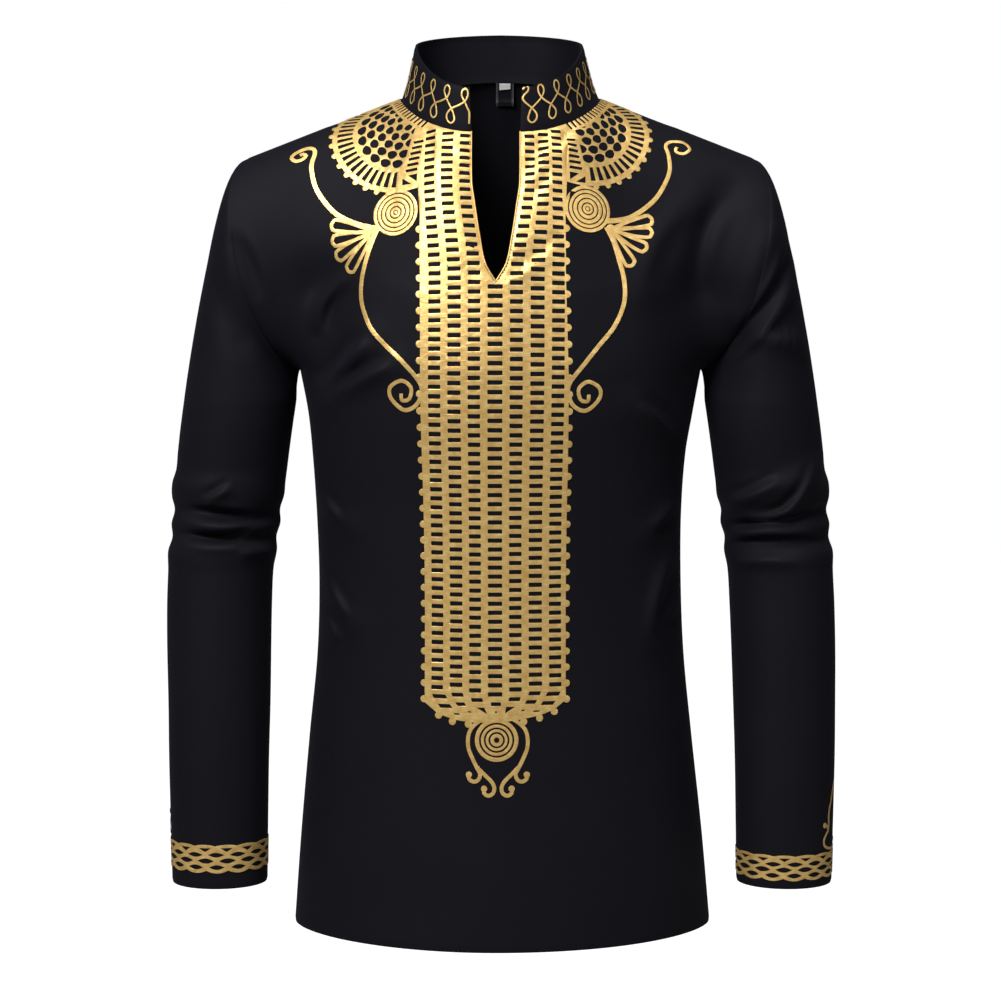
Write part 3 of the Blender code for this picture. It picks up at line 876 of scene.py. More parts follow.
def sleeve_row(half, row):
    """The places of one row, from the inner side round the back, and their flat measures."""
    below = max(row - CAP_ROWS, 0) / ARM_ROWS
    drop = SLEEVE[0][0] + (CUFF_DROP - SLEEVE[0][0]) * below
    places = []
    for column in range(ROUND_COLUMNS + 1):
        turn = (1.0 + 2.0 * column / ROUND_COLUMNS) % 2.0
        if row < CAP_ROWS:
            places.append(cap_point(half, turn, row / CAP_ROWS))
        else:
            places.append(sleeve_point(half, turn, drop))
    run = np.cumsum([0.0] + [(b - a).length for a, b in zip(places, places[1:])])
    level = SLEEVE[0][0] - drop + CAP_LENGTH * max(CAP_ROWS - row, 0) / CAP_ROWS
    flats = [(half * float(run[ROUND_COLUMNS // 2] - r), level) for r in run]
    for place in places:
        place.x *= half
    return places, flats


def lay_sleeve(name, node, half):
    """A sleeve as a fine tube, with its flat measures as a UV map."""
    rows = CAP_ROWS + ARM_ROWS
    mesh = grid_of(ROUND_COLUMNS, rows)
    laid = [sleeve_row(half, row) for row in range(rows + 1)]
    places, flats = [], {}
    for vert in mesh.verts:
        column, row = column_and_row(vert, ROUND_COLUMNS, rows)
        places.append(laid[row][0][column])
        flats[vert] = laid[row][1][column]
    add_flat(mesh, flats)
    if half == RIGHT:
        bmesh.ops.reverse_faces(mesh, faces=mesh.faces)
    settle_folds(mesh, places)
    bmesh.ops.remove_doubles(mesh, verts=mesh.verts, dist=SAME_SPOT)
    return new_piece(name, mesh, cloth_finish, WALL, [node])


sleeve_left = lay_sleeve("sleeve_left_cloth", "sleeve_left", LEFT)
sleeve_right = lay_sleeve("sleeve_right_cloth", "sleeve_right", RIGHT)
for sleeve in (sleeve_left, sleeve_right):
    print(f"{sleeve.name}: {len(sleeve.data.polygons)} faces")

# %% [markdown]
# ## Collar
#
# A stand collar is a straight band, sewn to the neck seam and open at the slit. It is two layers of
# cloth with a stiffener between them, so it is thicker than the rest and keeps its shape.

# %% Collar
COLLAR_COLUMNS = 168
COLLAR_ROWS = 12
COLLAR_TUCK = 0.045
FRONT_RIM_CURVE = 1.2
BACK_RIM_CURVE = 0.95


def collar_rim(facing, share):
    """The height of the rim. It falls quickly at the sides, and little across the back."""
    ahead = max(math.cos(share * math.pi / 2), 0.0)
    side = NECK_RISE + COLLAR_SIDE_HEIGHT
    if facing == FRONT:
        centre = NECK_RISE - FRONT_NECK_FALL + COLLAR_FRONT_HEIGHT
        return side + (centre - side) * ahead**FRONT_RIM_CURVE
    centre = NECK_RISE + BACK_NECK_RISE + COLLAR_BACK_HEIGHT
    return side + (centre - side) * ahead**BACK_RIM_CURVE


def collar_place(turn, level):
    """Where the collar lies at this part of a turn from the slit, and this share of its height."""
    half = LEFT if turn < 1.0 else RIGHT
    from_front = turn if turn < 1.0 else 2.0 - turn
    facing = FRONT if from_front <= 0.5 else BACK
    share = from_front * 2 if facing == FRONT else (1.0 - from_front) * 2
    place = neckline(facing, share)
    rise = collar_rim(facing, share) - place.z
    side = math.sin(share * math.pi / 2)
    sideways = -(COLLAR_INWARDS_LEFT if half == LEFT else COLLAR_INWARDS_RIGHT) * side * half
    lean = COLLAR_FRONT_LEAN
    if facing == FRONT:
        opening, centring = slit_shift(place, share * NECK_SHARE)
        place.x += opening + half * centring
        sideways += COLLAR_FRONT_SPREAD * half * (1 - side)
    else:
        lean -= COLLAR_BACK_LEAN * (1 - side)
    place.x *= half
    inwards = sideways * max(level, 0.0) ** COLLAR_HOLLOW
    return place + Vector((inwards, lean * level, rise * level))


def lay_collar():
    """The collar as a fine band, with its length round from the back and its height as a UV map."""
    mesh = grid_of(COLLAR_COLUMNS, COLLAR_ROWS)
    middle = [collar_place(2.0 * k / COLLAR_COLUMNS, 0.5) for k in range(COLLAR_COLUMNS + 1)]
    run = np.cumsum([0.0] + [(b - a).length for a, b in zip(middle, middle[1:])])
    places, flats = [], {}
    for vert in mesh.verts:
        column, row = column_and_row(vert, COLLAR_COLUMNS, COLLAR_ROWS)
        turn, level = 2.0 * column / COLLAR_COLUMNS, 1.0 - row / COLLAR_ROWS
        level = level if row < COLLAR_ROWS else -COLLAR_TUCK
        height = (collar_place(turn, 1.0) - collar_place(turn, 0.0)).length
        places.append(collar_place(turn, level))
        flats[vert] = (float(run[COLLAR_COLUMNS // 2] - run[column]), level * height)
    add_flat(mesh, flats)
    bmesh.ops.reverse_faces(mesh, faces=mesh.faces)
    settle_folds(mesh, places)
    return new_piece("collar_band", mesh, cloth_finish, COLLAR_WALL, ["collar"])


collar = lay_collar()
print(f"{collar.name}: {len(collar.data.polygons)} faces")

# %% [markdown]
# ## Gold foil
#
# The ornament is gold foil, pressed on the cloth with heat. It is metal only a few thousandths of a
# millimetre thick, so it takes over the fine ribs of the weave and breaks up in small crinkles
# where the cloth folds. That is why it glows softly and doesn't mirror. The glue under it shows
# through its grain and dulls it further, so the finish isn't fully metallic. The grain runs across
# the shirt, about a millimetre apart, and comes from noise that is stretched sideways.

# %% Gold foil finish
GRAIN_LENGTH = 0.008
GRAIN_PITCH = 0.0011
CRINKLE_SIZE = 0.007


def gold_foil():
    """Pressed foil: a pale and a deeper gold in patches, a fine grain and small crinkles."""
    material, tree, shader = new_finish("gold_foil_print", {"Metallic": 0.60, "Roughness": 0.42})
    place = add_node(tree, "ShaderNodeTexCoord")
    stretched = add_node(tree, "ShaderNodeMapping", {
        "Scale": (1 / GRAIN_LENGTH, 1 / GRAIN_PITCH, 1.0)}, {"Vector": place.outputs["UV"]})
    grain = add_node(tree, "ShaderNodeTexNoise", {"Scale": 1.0, "Detail": 3.0, "Roughness": 0.6},
                     {"Vector": stretched.outputs["Vector"]})
    crinkle = add_node(tree, "ShaderNodeTexNoise", {
        "Scale": 1 / CRINKLE_SIZE, "Detail": 2.0, "Distortion": 0.4},
                       {"Vector": place.outputs["UV"]})
    patches = add_node(tree, "ShaderNodeMath", {"operation": "MULTIPLY"},
                       {0: grain.outputs["Fac"], 1: crinkle.outputs["Fac"]})
    share = add_node(tree, "ShaderNodeMapRange", {"From Min": 0.12, "From Max": 0.42},
                     {"Value": patches.outputs["Value"]})
    gold = add_node(tree, "ShaderNodeMix",
                    {"data_type": "RGBA", 6: colour("#d5a960"), 7: colour("#f2d289")},
                    {0: share.outputs["Result"]})
    tree.links.new(gold.outputs[2], shader.inputs["Base Color"])
    coarse = add_node(tree, "ShaderNodeBump", {"Strength": 0.35, "Distance": 0.0012},
                      {"Height": crinkle.outputs["Fac"]})
    fine = add_node(tree, "ShaderNodeBump", {"Strength": 0.35, "Distance": 0.0003},
                    {"Height": grain.outputs["Fac"], "Normal": coarse.outputs["Normal"]})
    tree.links.new(fine.outputs["Normal"], shader.inputs["Normal"])
    return material


gold_finish = gold_foil()
print("gold finish:", gold_finish.name)

# %% [markdown]
# ### Drawing flat
#
# A printer draws such an ornament flat, before the shirt is sewn. The same is done here, in
# millimetres. A flat point is one complex number, its real part across and its imaginary part
# upwards, because then moving and turning a shape is only adding and multiplying. Every shape is
# a list of such points: a slot, a disc, a leaf, or a stroke made of short four-sided steps.

# %% Flat shapes
# How much of its width a slot loses at each corner
CORNER_CUT = 0.14
# Steps along each side of a leaf and of a scale
LEAF_STEPS, BOW_STEPS = 8, 7
# How blunt the bows of a scale are, and its shares of height above and below its ends
BOW_BLUNTNESS = 0.55
HIGH_BOW, LOW_BOW = 0.62, -0.38


def slot(centre, length, width, slant=0.0):
    """A four-sided slot with its corners cut. Slant moves its upper edge sideways."""
    a, b, cut = length / 2, width / 2, CORNER_CUT * width
    corners = [(a, b - cut), (a - cut, b), (cut - a, b), (-a, b - cut),
               (-a, cut - b), (cut - a, -b), (a - cut, -b), (a, cut - b)]
    return [centre + complex(x + slant * y, y) for x, y in corners]


def disc(centre, radius, count):
    """A round dot with this many sides."""
    return [centre + cmath.rect(radius, math.tau * k / count) for k in range(count)]


def leaf(centre, length, width):
    """A level shape with two pointed ends."""
    shares = [k / LEAF_STEPS for k in range(LEAF_STEPS)]
    upper = [complex(length * (s - 0.5), width / 2 * math.sin(math.pi * s)) for s in shares]
    return [centre + point for point in upper] + [centre - point for point in upper]


def scale(centre, width, height, turn):
    """A rounded scale: a high bow above, a low one below, pointed at both sides."""
    shares = [k / BOW_STEPS for k in range(BOW_STEPS + 1)]
    bow = [height * math.sin(math.pi * s) ** BOW_BLUNTNESS for s in shares]
    upper = [complex(width * (0.5 - s), HIGH_BOW * rise) for s, rise in zip(shares, bow)]
    lower = [complex(width * (s - 0.5), LOW_BOW * rise) for s, rise in zip(shares, bow)][1:-1]
    return [centre + point * cmath.rect(1.0, turn) for point in upper + lower]


def through(points, step):
    """A smooth line through a few points, in steps of about this many millimetres."""
    line = []
    for k in range(len(points) - 1):
        before, start = points[max(k - 1, 0)], points[k]
        end, after = points[k + 1], points[min(k + 2, len(points) - 1)]
        count = max(2, round(abs(end - start) / step))
        for j in range(count):
            line.append(hermite(start, (end - before) / 2, end, (after - start) / 2, j / count))
    return line + [points[-1]]


def stroke(line, start_width, end_width=None):
    """A stroke along a line, as four-sided steps. Its width may change from start to end."""
    end_width = start_width if end_width is None else end_width
    sides = []
    for k in range(len(line)):
        along_line = line[min(k + 1, len(line) - 1)] - line[max(k - 1, 0)]
        width = start_width + (end_width - start_width) * k / (len(line) - 1)
        sides.append(1j * along_line / abs(along_line) * width / 2)
    return [[line[k] + sides[k], line[k] - sides[k], line[k + 1] - sides[k + 1],
             line[k + 1] + sides[k + 1]] for k in range(len(line) - 1)]


def ring(centre, radius, width, count=32):
    """A closed thin ring, as four-sided steps."""
    inner, outer = radius - width / 2, radius + width / 2
    turns = [cmath.rect(1.0, math.tau * k / count) for k in range(count + 1)]
    return [[centre + a * inner, centre + a * outer, centre + b * outer, centre + b * inner]
            for a, b in zip(turns, turns[1:])]


def mirrored(shapes, axis):
    """The same shapes on the other side of an upright line."""
    return [[complex(2 * axis - p.real, p.imag) for p in shape] for shape in shapes]


# %% [markdown]
# ### From flat drawing to worn film
#
# Blender's constrained triangulation takes all outlines at once and says which shapes each triangle
# lies in. Triangles inside some gold shape and outside every slot are kept. Loose points between
# the outlines keep the triangles small enough to follow the folds. Each corner is then looked up
# on the flat map of the cloth, and goes to the same spot of the worn cloth. Real foil lies right on
# the cloth. Here it lies 0.6 mm above it, so that no fold of the cloth comes through.

# %% Cutting and laying film
FILM = 0.0002
FILM_LIFT = 0.0006
FILM_MARGIN = 0.5
FILM_GRID = 3.4
# Only gold shapes wider or higher than this need loose points
WIDE_SHAPE = 3 * FILM_GRID
# How far a strip along an edge runs on past each end of the edge, as a share of its length
RUN_ON = 0.1
SAME_POINT = 1e-5
# A triangle whose middle is further than this from the flat cloth lies beyond its edge
OFF_CLOTH = 0.05 * MM


def turned_left(shape):
    """The shape with its points in anticlockwise order."""
    area = sum((a.conjugate() * b).imag for a, b in zip(shape, shape[1:] + shape[:1]))
    return shape if area > 0 else shape[::-1]


def flat_map(piece):
    """The flat place of each corner of a piece, in metres."""
    data = piece.data
    pairs = np.empty(len(data.loops) * 2)
    data.uv_layers[0].uv.foreach_get("vector", pairs)
    return pairs.reshape(-1, 2)


def flat_rim(piece, inside):
    """Narrow strips along the edges of a piece, where they run inside a region."""
    data, pairs = piece.data, flat_map(piece)
    counts = collections.Counter(loop.edge_index for loop in data.loops)
    strips = []
    for face in data.polygons:
        loops = list(face.loop_indices)
        for here, after in zip(loops, loops[1:] + loops[:1]):
            if counts[data.loops[here].edge_index] == 1:
                a, b = (complex(*pairs[k]) / MM for k in (here, after))
                if inside(a) and inside(b):
                    line = [a - (b - a) * RUN_ON, b + (b - a) * RUN_ON]
                    strips += stroke(line, 2 * FILM_MARGIN)
    return strips


def carrier(piece):
    """A function that gives the worn place of a flat point, the way outwards there, and its gap."""
    data, pairs = piece.data, flat_map(piece)
    data.calc_loop_triangles()
    triangles = [tuple(triangle.loops) for triangle in data.loop_triangles]
    flats = [Vector((x, y, 0.0)) for x, y in pairs]
    tree = BVHTree.FromPolygons(flats, triangles)
    corners = [data.vertices[loop.vertex_index] for loop in data.loops]

    def carry(point):
        wanted = Vector((point.real * MM, point.imag * MM, 0.0))
        found, _, index, gap = tree.find_nearest(wanted)
        flat = [flats[k] for k in triangles[index]]
        places = [corners[k].co for k in triangles[index]]
        normals = [corners[k].normal for k in triangles[index]]
        place = geometry.barycentric_transform(found, *flat, *places)
        normal = geometry.barycentric_transform(found, *flat, *normals)
        return place, normal.normalized(), gap

    return carry


def points_between(golds):
    """A grid of loose points over each wide gold shape."""
    points = []
    for shape in golds:
        if max(abs(p - shape[0]) for p in shape) > WIDE_SHAPE:
            across = np.arange(min(p.real for p in shape), max(p.real for p in shape), FILM_GRID)
            upwards = np.arange(min(p.imag for p in shape), max(p.imag for p in shape), FILM_GRID)
            points += [complex(p, q) for p in across for q in upwards]
    return points


def cut_film(golds, slots):
    """Cut the slots out of the gold shapes. Returns the flat points and the triangles left."""
    shapes = [turned_left(shape) for shape in golds + slots]
    starts = np.cumsum([0] + [len(shape) for shape in shapes])
    outlines = [list(range(a, b)) for a, b in zip(starts, starts[1:])]
    points = [point for shape in shapes for point in shape] + points_between(golds)
    spots = [Vector((p.real, p.imag)) for p in points]
    cut = geometry.delaunay_2d_cdt(spots, [], outlines, 1, SAME_POINT, True)
    spots, triangles, origins = cut[0], cut[2], cut[5]
    kept = [triangle for triangle, sources in zip(triangles, origins)
            if sources and max(sources) < len(golds)]
    return spots, kept


def lay_film(name, piece, golds, slots):
    """Cut a gold film flat and lay it on a piece of cloth."""
    carry = carrier(piece)
    spots, triangles = cut_film(golds, slots)
    mesh = bmesh.new()
    layer = mesh.loops.layers.uv.new("flat")
    verts = {}
    ways_out = []
    for triangle in triangles:
        centre = sum((spots[k] for k in triangle), Vector((0.0, 0.0))) / 3
        _, outwards, gap = carry(complex(*centre))
        if gap > OFF_CLOTH:
            continue
        ways_out.append(outwards)
        for k in triangle:
            if k not in verts:
                place, normal, _ = carry(complex(*spots[k]))
                verts[k] = mesh.verts.new(place + normal * FILM_LIFT)
        face = mesh.faces.new([verts[k] for k in triangle])
        for loop, k in zip(face.loops, triangle):
            loop[layer].uv = spots[k] * MM
    mesh.normal_update()
    if sum(face.normal.dot(outwards) for face, outwards in zip(mesh.faces, ways_out)) < 0:
        bmesh.ops.reverse_faces(mesh, faces=mesh.faces)
    print(f"{name}: {len(mesh.faces)} triangles before its wall")
    film = new_piece(name, mesh, gold_finish, FILM, [])
    film.modifiers.new("soft", "WEIGHTED_NORMAL").mode = "FACE_AREA"
    return film


# %% [markdown]
# ## The print on the front
#
# Seven columns of short dark slots run down the chest in a gold panel that ends in a rounded foot.
# Every column starts a little higher or lower than its neighbour, so the slots never line up, as in
# basketwork. Beads line its edges. Above the tip of the slit the columns lean outwards to make room
# for it. All sizes are flat millimetres from the tip of the slit.

# %% The panel of slots
# Place across, first row, last row, rows, length of its slots, lean to make room for the slit
SLOT_COLUMNS = (
    (-50.5, -8.9, -347.3, 44, 10.4, -4.7),
    (-34.0, -5.5, -344.7, 44, 11.0, -6.4),
    (-17.6, -8.9, -349.3, 44, 10.3, -8.2),
    (-0.4, -4.7, -352.7, 45, 12.3, 0.0),
    (17.0, -9.3, -348.4, 44, 10.8, 10.8),
    (34.3, -6.0, -343.7, 44, 11.6, 4.9),
    (51.5, -8.9, -344.7, 44, 10.8, -1.5),
)
SLOT_HEIGHT = 3.8
# Place across, place up, length, height, slant of the last slots in the foot
FOOT_SLOTS = (
    (-48.4, -355.1, 11.9, 3.5, -0.5), (-43.4, -363.3, 10.8, 3.3, -0.7),
    (-33.3, -369.9, 4.8, 1.4, -1.2), (-32.7, -353.3, 10.0, 3.4, -0.3),
    (-29.8, -361.4, 7.8, 3.1, -0.6), (-22.3, -367.9, 2.6, 1.2, -1.0),
    (-15.9, -357.6, 9.8, 3.4, -0.3), (0.3, -361.1, 8.6, 3.3, 0.0),
    (16.3, -356.8, 9.8, 3.4, 0.3), (33.5, -352.0, 10.2, 3.4, 0.3),
    (30.3, -359.4, 9.0, 3.2, 0.6), (23.4, -366.6, 3.0, 1.2, 1.0),
    (49.6, -352.9, 11.5, 3.5, 0.5), (45.0, -360.7, 10.8, 3.3, 0.7),
    (35.0, -367.4, 5.2, 1.4, 1.2),
)
# Height, edge on the left, edge on the right
PANEL_EDGES = (
    (132.0, -69.0, 60.0), (90.0, -65.5, 58.2), (57.0, -63.4, 57.0), (34.0, -63.6, 57.2),
    (0.0, -63.0, 57.8), (-80.0, -62.3, 60.3), (-160.0, -62.0, 61.5), (-357.0, -61.5, 60.6),
)
# The foot of the panel from left to right
PANEL_FOOT = (-61 - 361j, -50 - 369.8j, -36.6 - 374.6j, -22.7 - 376.8j, 0.5 - 377.5j,
              22.7 - 374.2j, 38.2 - 371.1j, 50.5 - 366.3j, 59.8 - 358.9j)
FOOT_BEADS = (-49 - 371.4j, -37 - 376.5j, -23.2 - 378.4j, 24 - 376.4j, 37.6 - 373.4j,
              50.4 - 368.2j)
# Two dark triangles and a dot over the middle of the foot
FOOT_CORNERS = (
    [-16.5 - 364.1j, -9.8 - 364.1j, -7 - 369.8j],
    [9 - 363.4j, 16.8 - 363.4j, 7.9 - 369.1j],
)
FOOT_DOT, FOOT_DOT_RADIUS = 0.4 - 367.9j, 0.9
BEAD_RADIUS = 3.1
BEAD_OUTWARDS = 0.6
BEAD_LOWEST, BEAD_PITCH, BEAD_COUNT = -357.8, 13.9, 30
# Above the slit's tip the slots lean outwards, shorten, thin, tilt and draw together
PANEL_TOP = 135
LEAN_OVER = 90
SHORTER_LEFT, SHORTER_RIGHT = 0.12, 0.24
THINNER = 0.4
TILT, TILT_WAVE = 0.25, 0.9
CLOSER, CLOSER_FROM, CLOSER_OVER = 1.05, 50, 45


def panel_slots():
    """Every dark slot of the panel, with the shorter pitch above the slit's tip."""
    slots = []
    for across, first, last, rows, length, lean in SLOT_COLUMNS:
        pitch = (first - last) / (rows - 1)
        for k in range(rows):
            slots.append(slot(complex(across, first - pitch * k), length, SLOT_HEIGHT))
        level = first + pitch
        shorter = SHORTER_RIGHT if across > 0 else SHORTER_LEFT
        while lean and level < PANEL_TOP:
            share = float(smooth_step(level / LEAN_OVER))
            slots.append(slot(
                complex(across + lean * share, level), length * (1 - shorter * share),
                SLOT_HEIGHT - THINNER * share, TILT * share * math.sin(level * TILT_WAVE)))
            level += pitch - CLOSER * float(smooth_step((level - CLOSER_FROM) / CLOSER_OVER))
    for across, level, length, height, slant in FOOT_SLOTS:
        slots.append(slot(complex(across, level), length, height, slant))
    return slots + list(FOOT_CORNERS) + [disc(FOOT_DOT, FOOT_DOT_RADIUS, 10)]


def panel_golds():
    """The gold ground of the panel, with its beads."""
    levels, left, right = np.array(PANEL_EDGES).T
    ground = [*(left + 1j * levels), *PANEL_FOOT, *(right + 1j * levels)[::-1]]
    golds = [[complex(point) for point in ground]]
    for k in range(BEAD_COUNT):
        level = BEAD_LOWEST + BEAD_PITCH * k
        for side, edges in ((LEFT, left), (RIGHT, right)):
            edge = float(np.interp(level, levels[::-1], edges[::-1]))
            golds.append(disc(complex(edge + side * BEAD_OUTWARDS, level), BEAD_RADIUS, 20))
    return golds + [disc(centre, BEAD_RADIUS, 20) for centre in FOOT_BEADS]


print(len(panel_slots()), "slots in the panel")

# %% [markdown]
# ### Rosettes
#
# On each side of the collar lies part of a rosette: a beaded ring, a band of slots that point to
# its middle, a second ring, and rows of pointed scales inside, each row set half a scale round from
# the last. Below it hang a roundel of thin rings, a fan of four open petals and a long tendril.

# %% Rosettes
# Middle, outer edge of the ring, middle of the inner ring
ROSETTES = {LEFT: (-79 + 150j, 69.5, 48.6), RIGHT: (71 + 150j, 66.0, 47.0)}
RING_WIDTH = 4.6
# The turns, in degrees, from which to which the beads run, and the turn of the lowest ray
BEADS_RUN = {LEFT: (150, 272), RIGHT: (-92, 30)}
LOWEST_RAY = {LEFT: 262, RIGHT: -80}
# Rays, the pitch and width of the lowest one, and how much both shrink from ray to ray
RAY_COUNT = 19
RAY_PITCH, RAY_PITCH_LOSS = 7.3, 0.05
RAY_WIDTH, RAY_WIDTH_LOSS = 4.2, 0.05
# Widths of a ray at its inner and its outer end, as shares
RAY_NARROW, RAY_WIDE = 0.75, 1.12
ROSETTE_BEAD = 2.7
ROSETTE_BEAD_PITCH = 11.6
FIRST_BEAD_TURN = 0.06
# Share of the inner ring's radius, scales in a full turn, width and height of a scale
SCALE_ROWS = ((0.865, 22, 11.4, 7.9), (0.688, 18, 10.9, 7.9), (0.511, 14, 10.2, 7.9),
              (0.334, 10, 9.2, 7.8), (0.157, 5, 8.4, 7.0))
SCALE_TURN = 0.12
NARROWEST_SCALE = 3.0


def rosette(side):
    """One rosette: its gold and its slots."""
    centre, outer, inner = ROSETTES[side]
    golds = [disc(centre, outer, 96)]
    slots = []
    lowest = math.radians(LOWEST_RAY[side])
    near, far = inner + RING_WIDTH / 2, outer - RING_WIDTH
    for k in range(RAY_COUNT):
        run = (RAY_PITCH - RAY_PITCH_LOSS * k) * k
        turn = lowest + side * run * 2 / (near + far)
        width = RAY_WIDTH - RAY_WIDTH_LOSS * k
        slots += stroke([centre + cmath.rect(near, turn), centre + cmath.rect(far, turn)],
                        width * RAY_NARROW, width * RAY_WIDE)
    first, last = (math.radians(turn) for turn in BEADS_RUN[side])
    for k in range(int((last - first) * outer / ROSETTE_BEAD_PITCH)):
        turn = first + FIRST_BEAD_TURN + k * ROSETTE_BEAD_PITCH / outer
        bead = centre + cmath.rect(outer + BEAD_OUTWARDS, turn)
        golds.append(disc(bead, ROSETTE_BEAD, 16))
    return golds, slots + rosette_scales(side)


def rosette_scales(side):
    """The rows of scales inside a rosette, cut to the field that is left to them."""
    centre, _, inner = ROSETTES[side]
    scales = []
    for row, (reach, count, width, height) in enumerate(SCALE_ROWS):
        for k in range(count):
            turn = math.tau * (k + 0.5 * (row % 2)) / count
            place = centre + cmath.rect(reach * inner, turn)
            whole = scale(place, width, height, turn - math.pi / 2 + SCALE_TURN * side)
            cell = in_rosette_field(whole, place, side)
            if len(cell) > 2 and narrowest(cell) > NARROWEST_SCALE:
                scales.append(cell)
    return scales


def narrowest(shape):
    """The smaller extent of a shape, along and across the way from its first to its third point."""
    way = shape[2] - shape[0]
    turned = np.array(shape) * way.conjugate() / abs(way)
    return min(np.ptp(turned.real), np.ptp(turned.imag))


print(sum(row[1] for row in SCALE_ROWS), "scales in a whole rosette")

# %% [markdown]
# ### The field of the scales
#
# The scales fill only the field that the collar and the panel leave to them. On the real shirt the
# print simply stops there. Here each scale is clipped by straight lines, one beside the panel and
# one along the row of fine notches under the collar.

# %% The field of the scales
# A spot on the line between the scales and the panel, and the way to the scales
FIELD_EDGE = {LEFT: (-73.6 + 124j, -0.969 + 0.247j), RIGHT: (69.2 + 124j, 0.981 + 0.196j)}
# Notches beside the collar: length, pitch, widths, start of the first, end of the last, gap to seam
NOTCH_LENGTH, NOTCH_PITCH = 7.4, 4.8
NOTCH_WIDTH, NOTCH_END_WIDTH = 2.5, 2.1
NOTCHES_START, NOTCHES_END = 2.4, 2.0
NOTCH_FROM_SEAM = 0.4
NOTCH_TO_SCALES = 2.6
# The notches begin this far to the side of the slit
NOTCHES_BESIDE = 56
# A scale lies in the neck hole if its way from the nearest spot of the seam rises more than this
SEAM_BELOW = 0.2


def cut_off(shape, on, outwards):
    """The part of a shape that lies outwards of a line through a point."""
    kept = []
    for a, b in zip(shape, shape[1:] + shape[:1]):
        here, after = (((p - on) * outwards.conjugate()).real for p in (a, b))
        if here >= 0:
            kept.append(a)
        if (here >= 0) != (after >= 0):
            kept.append(a + (b - a) * here / (here - after))
    return kept


def in_rosette_field(cell, place, side):
    """A scale, cut where it would run into the collar's notches or the slots beside the panel."""
    cell = cut_off(cell, *FIELD_EDGE[side])
    nearest = min(neck_spots, key=lambda spot: abs(place - spot))
    outwards = (place - nearest) / abs(place - nearest)
    if outwards.imag > SEAM_BELOW or not cell:
        return []
    return cut_off(cell, nearest + outwards * (NOTCH_LENGTH + NOTCH_TO_SCALES), outwards)


def neck_notches(side):
    """Short fine slots along the collar seam, square to it, from the shoulder to the panel."""
    slots = []
    line = sorted((spot for spot in neck_spots if spot.real * side > NOTCHES_BESIDE),
                  key=lambda spot: spot.real * side)
    lengths = np.cumsum([0.0] + [abs(b - a) for a, b in zip(line, line[1:])])
    for run in np.arange(NOTCHES_START, lengths[-1] - NOTCHES_END, NOTCH_PITCH):
        k = int(np.searchsorted(lengths, run)) - 1
        way = (line[k + 1] - line[k]) / abs(line[k + 1] - line[k])
        place = line[k] + way * (run - lengths[k])
        inwards = 1j * way * -side
        slots += stroke([place + inwards * NOTCH_FROM_SEAM, place + inwards * NOTCH_LENGTH],
                        NOTCH_WIDTH, NOTCH_END_WIDTH)
    return slots


print("notches", NOTCH_LENGTH, "mm long,", NOTCH_PITCH, "mm apart")

# %% [markdown]
# ### Slots beside the panel
#
# Between the scales and the panel a wedge of gold is left. Level slots fill it, and three small
# triangles fill the corner down to the roundel. The right side mirrors the triangles, but its slots
# are a little shorter, because its scales come nearer to the panel.

# %% Slots beside the panel
# Nearer and further end of the highest slot from the middle, and how both move from slot to slot
WEDGE = {LEFT: (61.3, 0.9, 70.2, 1.3), RIGHT: (59.0, 0.3, 66.0, 1.1)}
WEDGE_ROWS = 6
WEDGE_TOP, WEDGE_PITCH = 124.0, 5.1
WEDGE_HEIGHT = 2.7
WEDGE_SLANT = 0.3
# The dark triangles between the left rosette and its roundel, and the line that mirrors them
WEDGE_CORNERS = (
    [-74.4 + 94j, -65.9 + 94.4j, -66.2 + 87.5j],
    [-79.8 + 92.4j, -79.8 + 86.2j, -71.2 + 86j],
    [-71.1 + 77.4j, -66.3 + 77.4j, -65.7 + 71.5j],
)
CORNER_AXIS = -2.7


def wedge_slots(side):
    """The level slots between the scales and the panel, and the triangles below them."""
    slots = []
    near, near_step, far, far_step = WEDGE[side]
    for k in range(WEDGE_ROWS):
        start, end = near + near_step * k, far + far_step * k
        centre = complex(side * (start + end) / 2, WEDGE_TOP - WEDGE_PITCH * k)
        slots.append(slot(centre, end - start, WEDGE_HEIGHT, WEDGE_SLANT * side))
    corners = list(WEDGE_CORNERS)
    return slots + (corners if side == LEFT else mirrored(corners, CORNER_AXIS))


print(len(wedge_slots(LEFT)), "dark shapes beside the panel on each side")

# %% [markdown]
# ### Roundels
#
# A roundel is a gold disc with thin dark rings. One lies below each rosette, and a smaller one hangs
# from the foot of the panel.

# %% Roundels
# Middle, radius, radii and width of the dark rings
ROUNDELS = (
    (-85.8 + 62.6j, 20.5, (17.2, 13.5, 9.3, 5.2), 1.1),
    (76.4 + 63.8j, 20.3, (17.0, 13.4, 9.2, 5.1), 1.1),
    (0.9 - 392j, 18.5, (14.2, 10.1, 6.2), 1.6),
)
# The smallest roundel has a dark dot in its middle, the others have one more thin ring
SMALL_ROUNDEL = 19.0
MIDDLE_DOT = 2.4
MIDDLE_RING, MIDDLE_RING_WIDTH = 2.0, 0.7


def roundel(centre, radius, ring_radii, ring_width):
    """A gold disc with thin dark rings."""
    slots = [step for r in ring_radii for step in ring(centre, r, ring_width)]
    if radius < SMALL_ROUNDEL:
        slots.append(disc(centre, MIDDLE_DOT, 16))
    else:
        slots += ring(centre, MIDDLE_RING, MIDDLE_RING_WIDTH, 16)
    return [disc(centre, radius, 48)], slots


print(len(ROUNDELS), "roundels")

# %% [markdown]
# ### Where the print ends
#
# The foil ends short of every sewn edge, so narrow strips along the front's edges are cut out of it
# like slots. The neck seam itself guides the notches, so its spots are looked up on the flat front.

